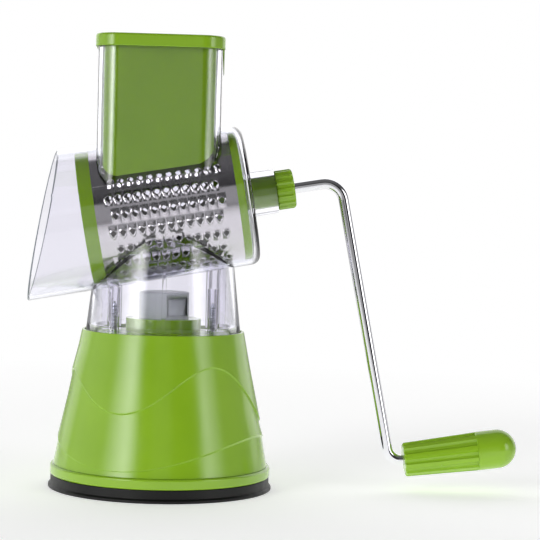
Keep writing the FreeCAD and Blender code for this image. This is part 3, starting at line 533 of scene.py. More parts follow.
def make_base_cover():
    low = SHELL_LOW.z
    bottom_radius = SHELL_HIGH.x
    slope = (RIM_RADIUS - bottom_radius) / (RIM_TOP - low)
    deck_top = FOOT_LOW.z
    deck_bottom = deck_top - SHELL_WALL
    boss_top = SHELL_HIGH.z
    boss_inner = DECK_BOSS_RADIUS - SHELL_WALL
    heights = [low] + [wave["height"] + ring for wave in WAVES for ring in WAVE_RINGS]
    heights = sorted(height for height in heights if height < RIM_TOP - RIM_MARGIN)

    def proud(height):
        """How far the surface stands off the plain cone at a nominal height."""
        offset = 0.0
        for wave in WAVES:
            over = height - wave["height"]
            rise = min(max((over + WAVE_EDGE) / WAVE_EDGE, 0.0), 1.0)
            fade = min(max(1.0 - over / WAVE_FADE, 0.0), 1.0)
            offset = max(offset, WAVE_DEPTH * rise * rise * (3 - 2 * rise) * fade)
        return offset

    outside = [(height, bottom_radius + (height - low) * slope + proud(height)) for height in heights]
    rest = [
        (RIM_TOP, RIM_RADIUS), (RIM_TOP, RIM_SEAT_RADIUS), (deck_top, RIM_SEAT_RADIUS),
        (deck_top, DECK_BOSS_RADIUS), (boss_top, DECK_BOSS_RADIUS), (boss_top, HUB_HOLE_RADIUS),
        (boss_top - SHELL_WALL, HUB_HOLE_RADIUS), (boss_top - SHELL_WALL, boss_inner),
        (deck_bottom, boss_inner), (deck_bottom, RIM_RADIUS - SHELL_WALL),
        (low, bottom_radius - SHELL_WALL),
    ]
    bm = turned(outside + rest, FINE_STEPS, UP)
    round_edges(bm, sharp_edges(bm, 50), SHELL_ROUNDING, 2)
    levels = [low, WAVES[0]["height"], WAVES[1]["height"], RIM_TOP]
    for vert in bm.verts:
        height = vert.co.z
        radius = math.hypot(vert.co.x, vert.co.y)
        plain = bottom_radius + (height - low) * slope
        if radius < plain - RIM_BAND or height > RIM_TOP - RIM_BAND:
            continue
        angle = math.degrees(math.atan2(vert.co.x, -vert.co.y))
        reached = [low, wave_height(WAVES[0], angle), wave_height(WAVES[1], angle), RIM_TOP]
        band = max(index for index in range(3) if height >= levels[index] - 0.001)
        share = (height - levels[band]) / (levels[band + 1] - levels[band])
        moved = reached[band] + share * (reached[band + 1] - reached[band])
        new_radius = radius + (moved - height) * slope
        vert.co = Vector((vert.co.x * new_radius / radius, vert.co.y * new_radius / radius, moved))
    finish(to_object(bm, "base_cover"), "base", green, ["base_shell"])


# Screws that stand in the clear bosses
THREAD_PITCH = 1.9
THREAD_CORE = 1.45
THREAD_CREST = 2.0
THREAD_ROOT = THREAD_CORE - 0.2
THREAD_RISE = 0.35
THREAD_FOOT = 0.8
THREAD_STEPS = 24
SCREW_HEAD_RADIUS = 4.0
SCREW_POINT_LENGTH = 2.5
SCREW_POINT_RADIUS = 0.3
SCREW_STEPS = 32


def make_boss_screws():
    """Two self-tapping screws with their threads, seen through the clear bosses."""
    low = SCREWS_LOW.z
    high = SCREWS_HIGH.z
    seat = FOOT_LOW.z - SHELL_WALL
    whole = bmesh.new()
    bm = bmesh.new()
    outline = ((THREAD_ROOT, 0.0), (THREAD_CREST, THREAD_RISE), (THREAD_ROOT, THREAD_FOOT))
    root = [bm.verts.new((radius, 0, seat + height)) for radius, height in outline]
    edges = [bm.edges.new(pair) for pair in zip(root, root[1:])]
    turns = (high - seat - 2 * THREAD_CORE) / THREAD_PITCH
    steps = int(turns * THREAD_STEPS)
    bmesh.ops.spin(
        bm, geom=root + edges, cent=(0, 0, 0), axis=UP, angle=2 * math.pi * turns, steps=steps,
        dvec=(0, 0, turns * THREAD_PITCH / steps),
    )
    bmesh.ops.holes_fill(bm, edges=bm.edges, sides=3)
    thread = bpy.data.meshes.new("thread")
    bm.to_mesh(thread)
    bm.free()
    core = turned(
        [
            (low, 0), (low, SCREW_HEAD_RADIUS), (seat, SCREW_HEAD_RADIUS), (seat, THREAD_CORE),
            (high - SCREW_POINT_LENGTH, THREAD_CORE), (high, SCREW_POINT_RADIUS), (high, 0),
        ],
        SCREW_STEPS, UP,
    )
    core_mesh = bpy.data.meshes.new("core")
    core.to_mesh(core_mesh)
    core.free()
    for side in (-1, 1):
        for part in (thread, core_mesh):
            copy = bmesh.new()
            copy.from_mesh(part)
            bmesh.ops.translate(copy, vec=(side * SCREW_SPREAD, 0, 0), verts=copy.verts)
            shifted = bpy.data.meshes.new("shifted")
            copy.to_mesh(shifted)
            copy.free()
            whole.from_mesh(shifted)
    bmesh.ops.recalc_face_normals(whole, faces=whole.faces)
    finish(to_object(whole, "boss_screws"), "base", zinc, ["foot_screws"])


# Shallow rectangular recess in the front of the guide tower
RECESS_LEFT = 2.5
RECESS_WIDTH = 10.0
RECESS_HEIGHT = 8.8
RECESS_FROM_TOP = 3.8
RECESS_GROOVE = 0.5
RECESS_GROOVE_DEPTH = 1.7


def make_guide_hub():
    """Guide tower from the part, with a fine groove round its rectangular recess."""
    hub = to_object(copy_of_node("guide_tower"), "guide_hub")
    top = node_box("guide_tower")[1].z - RECESS_FROM_TOP
    bottom = top - RECESS_HEIGHT
    right = RECESS_LEFT + RECESS_WIDTH
    wide = RECESS_GROOVE
    outer = plain_block((RECESS_LEFT - wide, -HUB_RADIUS - 1, bottom - wide), (right + wide, 0, top + wide))
    inner = plain_block((RECESS_LEFT, -HUB_RADIUS - 2, bottom), (right, 1, top))
    groove = combine(to_object(outer, "groove"), [to_object(inner, "inner")], "DIFFERENCE")
    keep = upright_rod(HUB_RADIUS - RECESS_GROOVE_DEPTH, FOOT_LOW.z - PAST, top + PAST, 0.0, FINE_STEPS)
    combine(groove, [to_object(keep, "keep")], "DIFFERENCE")
    combine(hub, [groove], "DIFFERENCE")
    finish(hub, "base", grey, ["guide_tower"])


def make_pad_spring():
    """Spring from the part, whose upper end is fixed, given a mesh of its own."""
    piece = to_object(copy_of_node("plunger_spring"), "pad_spring")
    spring = finish(piece, "base", zinc, ["plunger_spring"], flat=False)
    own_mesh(spring)


# Clear housing: one moulding, made of the barrel, the hopper, the bearing tube and the foot

def barrel_radius(distance):
    """Barrel's outer radius at a distance along the drum's axis."""
    return BARREL_RADIUS - distance * math.tan(BARREL_DRAFT)


def arc_points(centre_distance, centre_radius, radius, steps=6):
    """Quarter arc from outwards to along, for a rounded end."""
    angles = [math.pi / 2 * step / steps for step in range(steps + 1)]
    return [
        (centre_distance + radius * math.sin(angle), centre_radius + radius * math.cos(angle))
        for angle in angles
    ]


def barrel_shell():
    """Barrel's wall with its rounded end wall, open at its far end."""
    far = MOUTH_CENTRE - BARREL_RADIUS
    inner_end = BARREL_END - BARREL_END_WALL
    inner_rounding = BARREL_ROUNDING - BARREL_WALL
    outer_centre = barrel_radius(BARREL_END) - BARREL_ROUNDING
    inner_centre = barrel_radius(inner_end) - BARREL_WALL - inner_rounding
    outer = arc_points(BARREL_END - BARREL_ROUNDING, outer_centre, BARREL_ROUNDING)
    inner = arc_points(inner_end - inner_rounding, inner_centre, inner_rounding)
    points = [(BARREL_END, 0)] + outer[::-1] + [(far, barrel_radius(far))]
    points += [(far, barrel_radius(far) - BARREL_WALL)] + inner + [(inner_end, 0)]
    return turned(points, FINE_STEPS)


def cut_mouth(bm):
    """Slice the barrel off at the slanted mouth and round the mouth's rim."""
    geom = bm.verts[:] + bm.edges[:] + bm.faces[:]
    cut = bmesh.ops.bisect_plane(
        bm, geom=geom, plane_co=(MOUTH_CENTRE, 0, 0), plane_no=MOUTH_NORMAL, clear_outer=True
    )
    rim = [item for item in cut["geom_cut"] if isinstance(item, bmesh.types.BMEdge)]
    bmesh.ops.bridge_loops(bm, edges=rim)
    bmesh.ops.recalc_face_normals(bm, faces=bm.faces)
    round_edges(bm, rim, MOUTH_ROUNDING, 2)


def frost_mouth_rim(housing):
    """Give the sawn edge of the mouth its own finish."""
    housing.data.materials.append(sawn)
    middle = DRUM_TURN @ Vector((MOUTH_CENTRE, 0, 0)) + DRUM_PLACE
    normal = DRUM_TURN @ MOUTH_NORMAL
    for face in housing.data.polygons:
        if (face.center / MM - middle).dot(normal) > -MOUTH_ROUNDING:
            face.material_index = 1


def barrel_core():
    """Space inside the middle of the barrel's wall, for trimming what meets the barrel."""
    far = MOUTH_CENTRE - BARREL_RADIUS
    near = BARREL_END - BARREL_END_WALL / 2
    half = BARREL_WALL / 2
    core = turned(
        [(far, 0), (far, barrel_radius(far) - half), (near, barrel_radius(near) - half), (near, 0)],
        FINE_STEPS,
    )
    place_on_drum(core)
    return to_object(core, "core")


def foot_radius(height):
    """Foot's outer radius at a height above the table."""
    return FOOT_RADIUS - FOOT_TAPER * (height - FOOT_LOW.z)


def foot_block(inset, low, high, stretch=0.0):
    """Cone of the foot drawn in by an inset."""
    return turned(
        [
            (low - stretch, 0), (low - stretch, foot_radius(low) - inset),
            (high + stretch, foot_radius(high) - inset), (high + stretch, 0),
        ],
        FINE_STEPS, UP,
    )


def plain_block(low, high):
    """Block between its lowest and highest corners."""
    bm = bmesh.new()
    bmesh.ops.create_cube(bm, size=1.0)
    bmesh.ops.scale(bm, vec=[high[i] - low[i] for i in range(3)], verts=bm.verts)
    bmesh.ops.translate(bm, vec=[(high[i] + low[i]) / 2 for i in range(3)], verts=bm.verts)
    return bm


def upright_rod(radius, low, high, x, steps=48):
    bm = turned([(low, 0), (low, radius), (high, radius), (high, 0)], steps, UP)
    bmesh.ops.translate(bm, vec=(x, 0, 0), verts=bm.verts)
    return bm


def make_clear_foot():
    """Foot's wall with its ribs and screw bosses, up to halfway into the barrel's wall."""
    low = FOOT_LOW.z
    foot = to_object(foot_block(0.0, low, FOOT_TOP), "foot")
    combine(foot, [to_object(foot_block(FOOT_WALL, low, FOOT_TOP, 1.0), "inside")], "DIFFERENCE")
    outer = foot_radius(low) - FOOT_WALL / 2
    inner = outer - FOOT_RING_WIDTH
    start = low + 4 * APART
    end = low + FOOT_RING_HEIGHT
    ring = turned([(start, outer), (end, outer), (end, inner), (start, inner)], FINE_STEPS, UP)
    combine(foot, [to_object(ring, "ring")], "UNION")
    half = FOOT_RIB_WIDTH / 2
    near = foot_radius(FOOT_TOP) - FOOT_RIB_DEPTH
    far = foot_radius(low) - FOOT_WALL / 2
    wall = foot_radius(FOOT_TOP) - FOOT_WALL / 2
    for side in (-1, 1):
        rib = plain_block((-half, near, low + APART), (half, far, FOOT_TOP - 1.0))
        for vert in rib.verts:
            if vert.co.y < far - SAME:
                vert.co.x *= FOOT_RIB_DRAFT
        web = plain_block((SCREW_SPREAD, -half, low + 2 * APART), (wall, half, FOOT_TOP - 2.0))
        boss = upright_rod(FOOT_BOSS_RADIUS, low + 3 * APART, FOOT_TOP - 3.0, SCREW_SPREAD)
        for part in (rib, web, boss):
            turn = Matrix.Rotation(math.pi if side < 0 else 0.0, 3, "Z")
            bmesh.ops.rotate(part, cent=(0, 0, 0), matrix=turn, verts=part.verts)
            combine(foot, [to_object(part, "part")], "UNION")
    trim = to_object(foot_block(5 * APART, low, FOOT_TOP, 1.0), "trim")
    combine(foot, [trim], "INTERSECT")
    return foot


def make_clear_housing():
    """Barrel, bearing tube, hopper and foot in one, with the bore, the chute and the screw holes cut."""
    barrel = barrel_shell()
    cut_mouth(barrel)
    place_on_drum(barrel)
    housing = to_object(barrel, "clear_housing")
    bearing = turned([
        (BARREL_END - 1.0, 0), (BARREL_END - 1.0, BEARING_RADIUS),
        (BEARING_END, BEARING_RADIUS - BEARING_NARROWING), (BEARING_END, 0),
    ])
    place_on_drum(bearing)
    hopper_size = HOPPER_HIGH - HOPPER_LOW
    block = rounded_block(
        hopper_size.x, hopper_size.y, HOPPER_CORNER, AXIS_HEIGHT + 10.0, HOPPER_HIGH.z
    )
    round_edges(block, level_edges(block, HOPPER_HIGH.z), HOPPER_ROUNDING, 2)
    hopper = combine(to_object(block, "hopper"), [barrel_core()], "DIFFERENCE")
    foot = combine(make_clear_foot(), [barrel_core()], "DIFFERENCE")
    combine(housing, [to_object(bearing, "bearing"), hopper, foot], "UNION")
    bore = turned([(0, 0), (0, BEARING_BORE), (BEARING_END + PAST, BEARING_BORE), (BEARING_END + PAST, 0)])
    place_on_drum(bore)
    chute = rounded_block(
        hopper_size.x - 2 * HOPPER_WALL, hopper_size.y - 2 * HOPPER_WALL, HOPPER_CORNER - HOPPER_WALL,
        AXIS_HEIGHT, HOPPER_HIGH.z + PAST,
    )
    cutters = [to_object(bore, "bore"), to_object(chute, "chute")]
    for side in (-1, 1):
        pilot = upright_rod(
            FOOT_PILOT_RADIUS, FOOT_LOW.z - 1.0, FOOT_LOW.z + FOOT_PILOT_LENGTH, side * SCREW_SPREAD,
            SCREW_STEPS,
        )
        cutters.append(to_object(pilot, "pilot"))
    combine(housing, cutters, "DIFFERENCE")
    bm = bmesh.new()
    bm.from_mesh(housing.data)
    bmesh.ops.remove_doubles(bm, verts=bm.verts, dist=0.005)
    bmesh.ops.dissolve_degenerate(bm, edges=bm.edges, dist=0.005)
    bm.to_mesh(housing.data)
    bm.free()
    finish(housing, "base", clear, ["drum_housing", "feed_hopper", "housing_foot"])
    frost_mouth_rim(housing)


# Pusher

def make_pusher_block():
    """Pusher's hollow body, its underside curved to the drum."""
    size = BODY_HIGH - BODY_LOW
    bm = rounded_block(size.x, size.y, PUSHER_CORNER, AXIS_HEIGHT, BODY_HIGH.z, segments=12)
    block = to_object(bm, "pusher_block")
    reach = 4 * size.x
    sweep = turned(
        [(-reach, 0), (-reach, PUSHER_DRUM_RADIUS), (reach, PUSHER_DRUM_RADIUS), (reach, 0)], FINE_STEPS
    )
    place_on_drum(sweep)
    combine(block, [to_object(sweep, "sweep")], "DIFFERENCE")
    finish(block, "pusher", green, ["pusher_body"])


def make_pusher_lid():
    """Pusher's lid with the tab that hangs outside the chute."""
    bottom = CAP_HIGH.z - CAP_HEIGHT
    size = CAP_HIGH - CAP_LOW
    bm = rounded_block(size.x, size.y, CAP_CORNER, bottom, CAP_HIGH.z, segments=12)
    round_edges(bm, level_edges(bm, CAP_HIGH.z), CAP_TOP_ROUNDING, 5)
    round_edges(bm, level_edges(bm, bottom), CAP_BOTTOM_ROUNDING)
    tab = plain_block(
        (CAP_HIGH.x - TAB_THICKNESS, -TAB_WIDTH / 2, CAP_LOW.z), (CAP_HIGH.x, TAB_WIDTH / 2, bottom + 2.0)
    )
    for vert in tab.verts:
        if vert.co.z < bottom and vert.co.x < CAP_HIGH.x - TAB_THICKNESS / 2:
            vert.co.x += TAB_THICKNESS * TAB_TAPER
    round_edges(tab, [edge for edge in tab.edges if edge.calc_length() > SAME], TAB_ROUNDING, 2)
    lid = to_object(bm, "pusher_lid")
    combine(lid, [to_object(tab, "tab")], "UNION")
    finish(lid, "pusher", green, ["pusher_cap"])


# Drum with its hooded teeth

def sleeve_radius(distance):
    """Sheet's outer radius at a distance along the drum, which narrows towards the crank."""
    share = (distance - DRUM_FRONT) / (DRUM_BACK - DRUM_FRONT)
    return DRUM_FRONT_RADIUS + share * (DRUM_BACK_RADIUS - DRUM_FRONT_RADIUS)


# One tooth, from its foot on the sheet to its opening: a raised ring that is higher below the opening,
# where a tongue runs down to the sheet
TOOTH_LOOPS = (
    {"radius": 2.35, "above": 2.3, "tongue": 4.6, "top": 0.0, "lip": 0.0},
    {"radius": 2.1, "above": 2.05, "tongue": 3.4, "top": 0.25, "lip": 0.4},
    {"radius": 1.85, "above": 1.85, "tongue": 2.3, "top": 0.4, "lip": 0.95},
    {"radius": 1.65, "above": 1.65, "tongue": 1.85, "top": 0.35, "lip": 0.95},
)
TONGUE_TAPER = 0.3
CELL_STEPS = 4
SHEET_MARGIN = 0.3
ROW_ANGLE = 2 * math.pi / TOOTH_ROWS
ROW_LENGTH = DRUM_FRONT_RADIUS * ROW_ANGLE


def tooth_cell():
    """One tooth on a flat cell: x along the drum, y down its front, z out of it."""
    bm = bmesh.new()
    bmesh.ops.create_grid(bm, x_segments=CELL_STEPS, y_segments=CELL_STEPS, size=0.5)
    bmesh.ops.scale(bm, vec=(TOOTH_PITCH, ROW_LENGTH, 1), verts=bm.verts)
    bmesh.ops.dissolve_faces(bm, faces=bm.faces)
    for loop in TOOTH_LOOPS:
        bm.faces.ensure_lookup_table()
        middle = min(bm.faces, key=lambda face: face.calc_center_median().length)
        bmesh.ops.inset_individual(bm, faces=[middle], thickness=0.05, use_even_offset=False)
        middle = min(bm.faces, key=lambda face: face.calc_center_median().length)
        for vert in middle.verts:
            angle = math.atan2(vert.co.x / TOOTH_PITCH, vert.co.y / ROW_LENGTH)
            down = (1 + math.cos(angle)) / 2
            reach = loop["tongue"] if math.cos(angle) > 0 else loop["above"]
            narrow = 1.0 - TONGUE_TAPER * max(math.cos(angle), 0.0)
            across = loop["radius"] * math.sin(angle) * narrow
            height = loop["top"] + (loop["lip"] - loop["top"]) * down
            vert.co = Vector((across, reach * math.cos(angle), height))
    bm.faces.ensure_lookup_table()
    middle = next(face for face in bm.faces if len(face.verts) == 4 * CELL_STEPS)
    bmesh.ops.delete(bm, geom=[middle], context="FACES_ONLY")
    return bm


def tooth_row(start, spare_left, spare_right):
    """Flat row of teeth, drawn out at both ends to the drum's ends."""
    cell_mesh = bpy.data.meshes.new("cell")
    cell = tooth_cell()
    cell.to_mesh(cell_mesh)
    cell.free()
    row = bmesh.new()
    for tooth in range(TEETH_PER_ROW):
        before = set(row.verts)
        row.from_mesh(cell_mesh)
        added = [vert for vert in row.verts if vert not in before]
        bmesh.ops.translate(row, vec=(start + tooth * TOOTH_PITCH, 0, 0), verts=added)
    bmesh.ops.remove_doubles(row, verts=row.verts, dist=0.01)
    step_length = TOOTH_PITCH / CELL_STEPS
    for spare, way, end in ((spare_left, -1, DRUM_FRONT), (spare_right, 1, DRUM_BACK)):
        place = max(way * vert.co.x for vert in row.verts)
        places = [way * (place + step_length * (step + 1)) for step in range(spare)]
        places += [end - way * SHEET_MARGIN, end]
        for target in places:
            last = max(way * vert.co.x for vert in row.verts)
            edges = [
                edge for edge in row.edges
                if all(abs(way * vert.co.x - last) < APART for vert in edge.verts)
            ]
            drawn = bmesh.ops.extrude_edge_only(row, edges=edges)
            for item in drawn["geom"]:
                if isinstance(item, bmesh.types.BMVert):
                    item.co.x = target
    return row


def make_grater_sheet():
    """Perforated sheet bent to the drum, its teeth raised."""
    whole = bmesh.new()
    for odd in (0, 1):
        start = FIRST_TOOTH - odd * TOOTH_PITCH / 2
        flat = tooth_row(start, 0 if odd else 2, 2 if odd else 0)
        flat_mesh = bpy.data.meshes.new("row")
        flat.to_mesh(flat_mesh)
        flat.free()
        for row in range(odd, TOOTH_ROWS, 2):
            before = set(whole.verts)
            whole.from_mesh(flat_mesh)
            for vert in whole.verts:
                if vert in before:
                    continue
                angle = ROW_ANGLE * (row - vert.co.y / ROW_LENGTH)
                radius = sleeve_radius(vert.co.x) + vert.co.z
                vert.co.y = -radius * math.cos(angle)
                vert.co.z = radius * math.sin(angle)
    tidy(whole)
    place_on_drum(whole)
    piece = to_object(whole, "grater_sheet")
    finish(piece, "drum_and_crank", steel, ["drum_sleeve"], sharp=50, flat=False)
    wall = piece.modifiers.new("sheet", "SOLIDIFY")
    wall.thickness = DRUM_SHEET * MM
    wall.offset = -1.0
    # Inner faces take the steel whose dark colour is painted shade inside the drum
    piece.data.materials.append(shade_painted_steel)
    wall.material_offset = 1


def make_drum_ring():
    """Ring on the open end of the drum, with a lip in front of the sheet's edge."""
    back = RING_FRONT + RING_WIDTH
    inner = DRUM_FRONT_RADIUS - RING_LIP
    seat = DRUM_FRONT_RADIUS + RING_CLEARANCE
    stop = DRUM_FRONT - 2 * RING_CLEARANCE
    bm = turned(
        [(RING_FRONT, RING_RADIUS), (back, RING_RADIUS), (back, seat), (stop, seat), (stop, inner),
         (RING_FRONT, inner)],
        FINE_STEPS,
    )
    front = [edge for edge in sharp_edges(bm) if edge.verts[0].co.x < RING_FRONT + SAME]
    round_edges(bm, front, RING_ROUNDING)
    place_on_drum(bm)
    finish(to_object(bm, "drum_ring"), "drum_and_crank", green, ["drum_front_ring"])


def fluted_rod(stations, count, depth, flat_share, steps_each=10):
    """Rod along X with lengthwise grooves, from (distance, radius, groove share) stations."""
    bm = bmesh.new()
    ring = bmesh.ops.create_circle(bm, segments=count * steps_each, radius=1.0)["verts"]
    bmesh.ops.rotate(bm, cent=(0, 0, 0), matrix=Matrix.Rotation(math.pi / 2, 3, "Y"), verts=ring)
    edges = bm.edges[:]
    for station, (distance, radius, share) in enumerate(stations):
        if station > 0:
            drawn = bmesh.ops.extrude_edge_only(bm, edges=edges)["geom"]
            ring = [item for item in drawn if isinstance(item, bmesh.types.BMVert)]
            edges = [item for item in drawn if isinstance(item, bmesh.types.BMEdge)]
        for vert in ring:
            angle = math.atan2(vert.co.y, vert.co.z)
            phase = (angle * count / (2 * math.pi)) % 1.0
            inside = max(0.0, 1.0 - abs(phase - 0.5) * 2 / (1.0 - flat_share))
            groove = depth * share * math.sin(math.pi / 2 * min(1.0, inside * GROOVE_STEEPNESS))
            reach = radius - groove
            vert.co = Vector((distance, reach * math.sin(angle), reach * math.cos(angle)))
    return bm


def close_ends(bm):
    """Fill the open ends of a rod and turn its faces outwards."""
    bmesh.ops.holes_fill(bm, edges=bm.edges)
    bmesh.ops.recalc_face_normals(bm, faces=bm.faces)


def make_crank_collar():
    """Fluted collar with the spigot that turns in the bearing tube."""
    stations = [
        (COLLAR_START, SPIGOT_RADIUS - 0.5, 0.0), (COLLAR_START, COLLAR_RADIUS - 0.6, 0.8),
        (COLLAR_START + 0.5, COLLAR_RADIUS, 1.0), (COLLAR_END - COLLAR_ROUNDING, COLLAR_RADIUS, 1.0),
        (COLLAR_END - 0.7, COLLAR_RADIUS - 0.4, 0.8), (COLLAR_END - 0.15, COLLAR_RADIUS - 1.1, 0.3),
        (COLLAR_END, COLLAR_RADIUS - 2.2, 0.0), (COLLAR_END, ROD_RADIUS, 0.0),
    ]
    bm = fluted_rod(stations, FLUTE_COUNT, FLUTE_DEPTH, 0.25)
    close_ends(bm)
    collar = bpy.data.meshes.new("collar")
    bm.to_mesh(collar)
    bm.free()
    whole = turned([
        (DISC_BACK + 0.3, 0), (DISC_BACK + 0.3, SPIGOT_RADIUS), (COLLAR_START + 0.2, SPIGOT_RADIUS),
        (COLLAR_START + 0.2, 0),
    ])
    whole.from_mesh(collar)
    place_on_drum(whole)
    finish(to_object(whole, "crank_collar"), "drum_and_crank", green, ["crank_hub"])


def make_ribbed_grip():
    """Grip's ribbed sleeve, wider towards its end."""
    stations = [
        (0.0, ROD_RADIUS + 0.2, 0.0), (0.0, GRIP_NARROW_RADIUS - 1.6, 0.4),
        (0.3, GRIP_NARROW_RADIUS - 0.6, 0.8), (1.0, GRIP_NARROW_RADIUS, 1.0),
        (RIBBED_LENGTH, GRIP_WIDE_RADIUS, 1.0), (RIBBED_LENGTH, ROD_RADIUS + 0.2, 0.0),
    ]
    bm = fluted_rod(stations, GROOVE_COUNT, GROOVE_DEPTH, 0.42, 16)
    close_ends(bm)
    place_on_grip(bm)
    finish(to_object(bm, "ribbed_grip"), "grip", green, ["grip_sleeve"])


def make_grip_dome():
    """Grip's domed end, with a small chamfer where it meets the sleeve."""
    start = GRIP_LENGTH - CAP_DOME_RADIUS
    points = [
        (RIBBED_LENGTH, 0), (RIBBED_LENGTH, CAP_DOME_RADIUS - CAP_CHAMFER),
        (RIBBED_LENGTH + CAP_CHAMFER, CAP_DOME_RADIUS),
    ]
    points += arc_points(start, 0.0, CAP_DOME_RADIUS, 24)[:-1]
    points.append((GRIP_LENGTH, 0))
    bm = turned(points)
    place_on_grip(bm)
    finish(to_object(bm, "grip_dome"), "grip", green, ["grip_cap"])


make_suction_cup()
make_base_cover()
make_boss_screws()
make_guide_hub()
make_pad_spring()
make_clear_housing()
make_pusher_block()
make_pusher_lid()
make_grater_sheet()
make_drum_ring()
make_crank_collar()
make_ribbed_grip()
make_grip_dome()

# CAD nodes that are shown as they are
CAD_FINISHES = {
    "base_plate": green, "plunger": grey, "spring_seat": zinc, "lever_shaft": zinc, "shaft_clip": zinc,
    "suction_lever": green, "lever_screw": zinc, "base_screws": zinc, "tower_screws": zinc,
    "drum_back_disc": green, "crank_rod": mirror, "grip_retainer": zinc,
}
for node, material in CAD_FINISHES.items():
    mesh = frame["nodes"][node].data
    mesh.materials.clear()
    mesh.materials.append(material)


# Studio: a white table and backdrop, a dark room with a grey panel behind the camera, two soft boxes

# Edges of the table
FLOOR_FRONT = -1.3
FLOOR_BACK = 9.0
FLOOR_SIDE = 9.0

# How bright the table glows near the object and far from it in reflections, and what lifts it to white
FLOOR_BOUNCE = (0.7, 0.35)
FLOOR_REACH = (0.1, 0.9)
FLOOR_LIFT = 0.42
FLOOR_FADE = (0.28, 0.75)

# Grey cards in the background, eight all round, which only clear plastic shows, so that its edges draw
CARD_COUNT = 8
CARD_LEVEL = 0.3
CARD_EDGE = (0.62, 0.92)

PLUS = {"operation": "ADD"}
TIMES = {"operation": "MULTIPLY"}
LARGER = {"operation": "MAXIMUM"}
WITHOUT_SIGN = {"operation": "ABSOLUTE"}
OPPOSITE = {"operation": "MULTIPLY", 1: -1.0}


def seen_directly(tree):
    """Two outputs, 1 for rays from the camera: those also straight through clear plastic, and those not."""
    ray = add(tree, "ShaderNodeLightPath")
    camera = ray.outputs["Is Camera Ray"]
    bounces = add(tree, MATH, PLUS, {0: ray.outputs["Glossy Depth"], 1: ray.outputs["Diffuse Depth"]})
    straight = add(tree, MATH, {"operation": "LESS_THAN", 1: 0.5}, {0: bounces})
    through = add(tree, MATH, TIMES, {0: straight, 1: ray.outputs["Is Transmission Ray"]})
    return add(tree, MATH, LARGER, {0: through, 1: camera}), camera


def angle_round(tree, across, back):
    """Angle round the object from the front."""
    front = add(tree, MATH, OPPOSITE, {0: back})
    return add(tree, MATH, {"operation": "ARCTAN2"}, {0: across, 1: front})


def background(tree, angle):
    """Where the background is seen directly, and how bright it is there: white, or with its grey cards."""
    turn = add(tree, MATH, {"operation": "MULTIPLY", 1: CARD_COUNT / 2}, {0: angle})
    wave = add(tree, MATH, {"operation": "SINE"}, {0: turn})
    height = add(tree, MATH, WITHOUT_SIGN, {0: wave})
    cards = add(tree, RANGE, between(1.0, CARD_LEVEL, *CARD_EDGE), {"Value": height})
    direct, camera = seen_directly(tree)
    return direct, add(tree, MATH, LARGER, {0: cards, 1: camera})


def make_floor():
    bm = bmesh.new()
    bmesh.ops.create_grid(bm, x_segments=1, y_segments=1, size=1.0)
    depth = (FLOOR_BACK - FLOOR_FRONT) / 2
    bmesh.ops.scale(bm, vec=(FLOOR_SIDE, depth, 1), verts=bm.verts)
    bmesh.ops.translate(bm, vec=(0, FLOOR_FRONT + depth, 0), verts=bm.verts)
    floor = to_object(bm, "floor")
    material, tree, place = new_material("white_table")
    away = add(tree, "ShaderNodeVectorMath", {"operation": "LENGTH"}, {0: place}).outputs["Value"]
    parts = add(tree, "ShaderNodeSeparateXYZ", links={"Vector": place})
    angle = angle_round(tree, parts.outputs["X"], parts.outputs["Y"])
    direct, behind = background(tree, angle)
    bounce = add(tree, RANGE, between(*FLOOR_BOUNCE, *FLOOR_REACH), {"Value": away})
    far = add(tree, MIX, {"data_type": "FLOAT"}, {"Factor": direct, "A": bounce, "B": behind})
    near = add(tree, MIX, {"data_type": "FLOAT", "B": FLOOR_LIFT}, {"Factor": direct, "A": bounce})
    matt = add(tree, "ShaderNodeBsdfDiffuse", {"Color": colour("F2F2F2")})
    lift = add(tree, "ShaderNodeEmission", {"Color": colour("FFFFFF")}, {"Strength": near})
    both = add(tree, "ShaderNodeAddShader", links={0: matt, 1: lift})
    distant = add(tree, "ShaderNodeEmission", {"Color": colour("FFFFFF")}, {"Strength": far})
    share = add(tree, RANGE, between(0.0, 1.0, *FLOOR_FADE), {"Value": away})
    mixed = add(tree, "ShaderNodeMixShader", links={0: share, 1: both, 2: distant})
    finish_material(tree, mixed)
    floor.data.materials.append(material)


# Room's brightness: the dark front, the grey panel seen low down behind the camera, and the backdrop
ROOM_DARK = (0.03, 0.14)
ROOM_FADE = (0.35, 0.9)
ROOM_GREY = 0.42
PANEL_SIDE = (0.17, 0.21)
PANEL_TOP = (0.34, 0.38)
BACKDROP = 1.4
BACKDROP_EDGE = (0.44, 0.54)

# Tall soft boxes in the world, each with one sharp side and one that fades. Azimuths from the front
SOFT_BOXES = (
    {"sharp": (-26.0, -38.0), "fading": (-42.0, -67.0), "level": 7.2},
    {"sharp": (43.0, 52.0), "fading": (55.0, 76.0), "level": 4.3},
)
BOX_BOTTOM = (-0.1, 0.0)
BOX_TOP = (0.42, 0.55)

# White walls far out to both sides: from where they start to where they are full, and how bright
SIDE_WALLS = (
    {"reach": (-0.8, -0.95), "level": 1.0},
    {"reach": (0.85, 0.97), "level": 0.5},
)


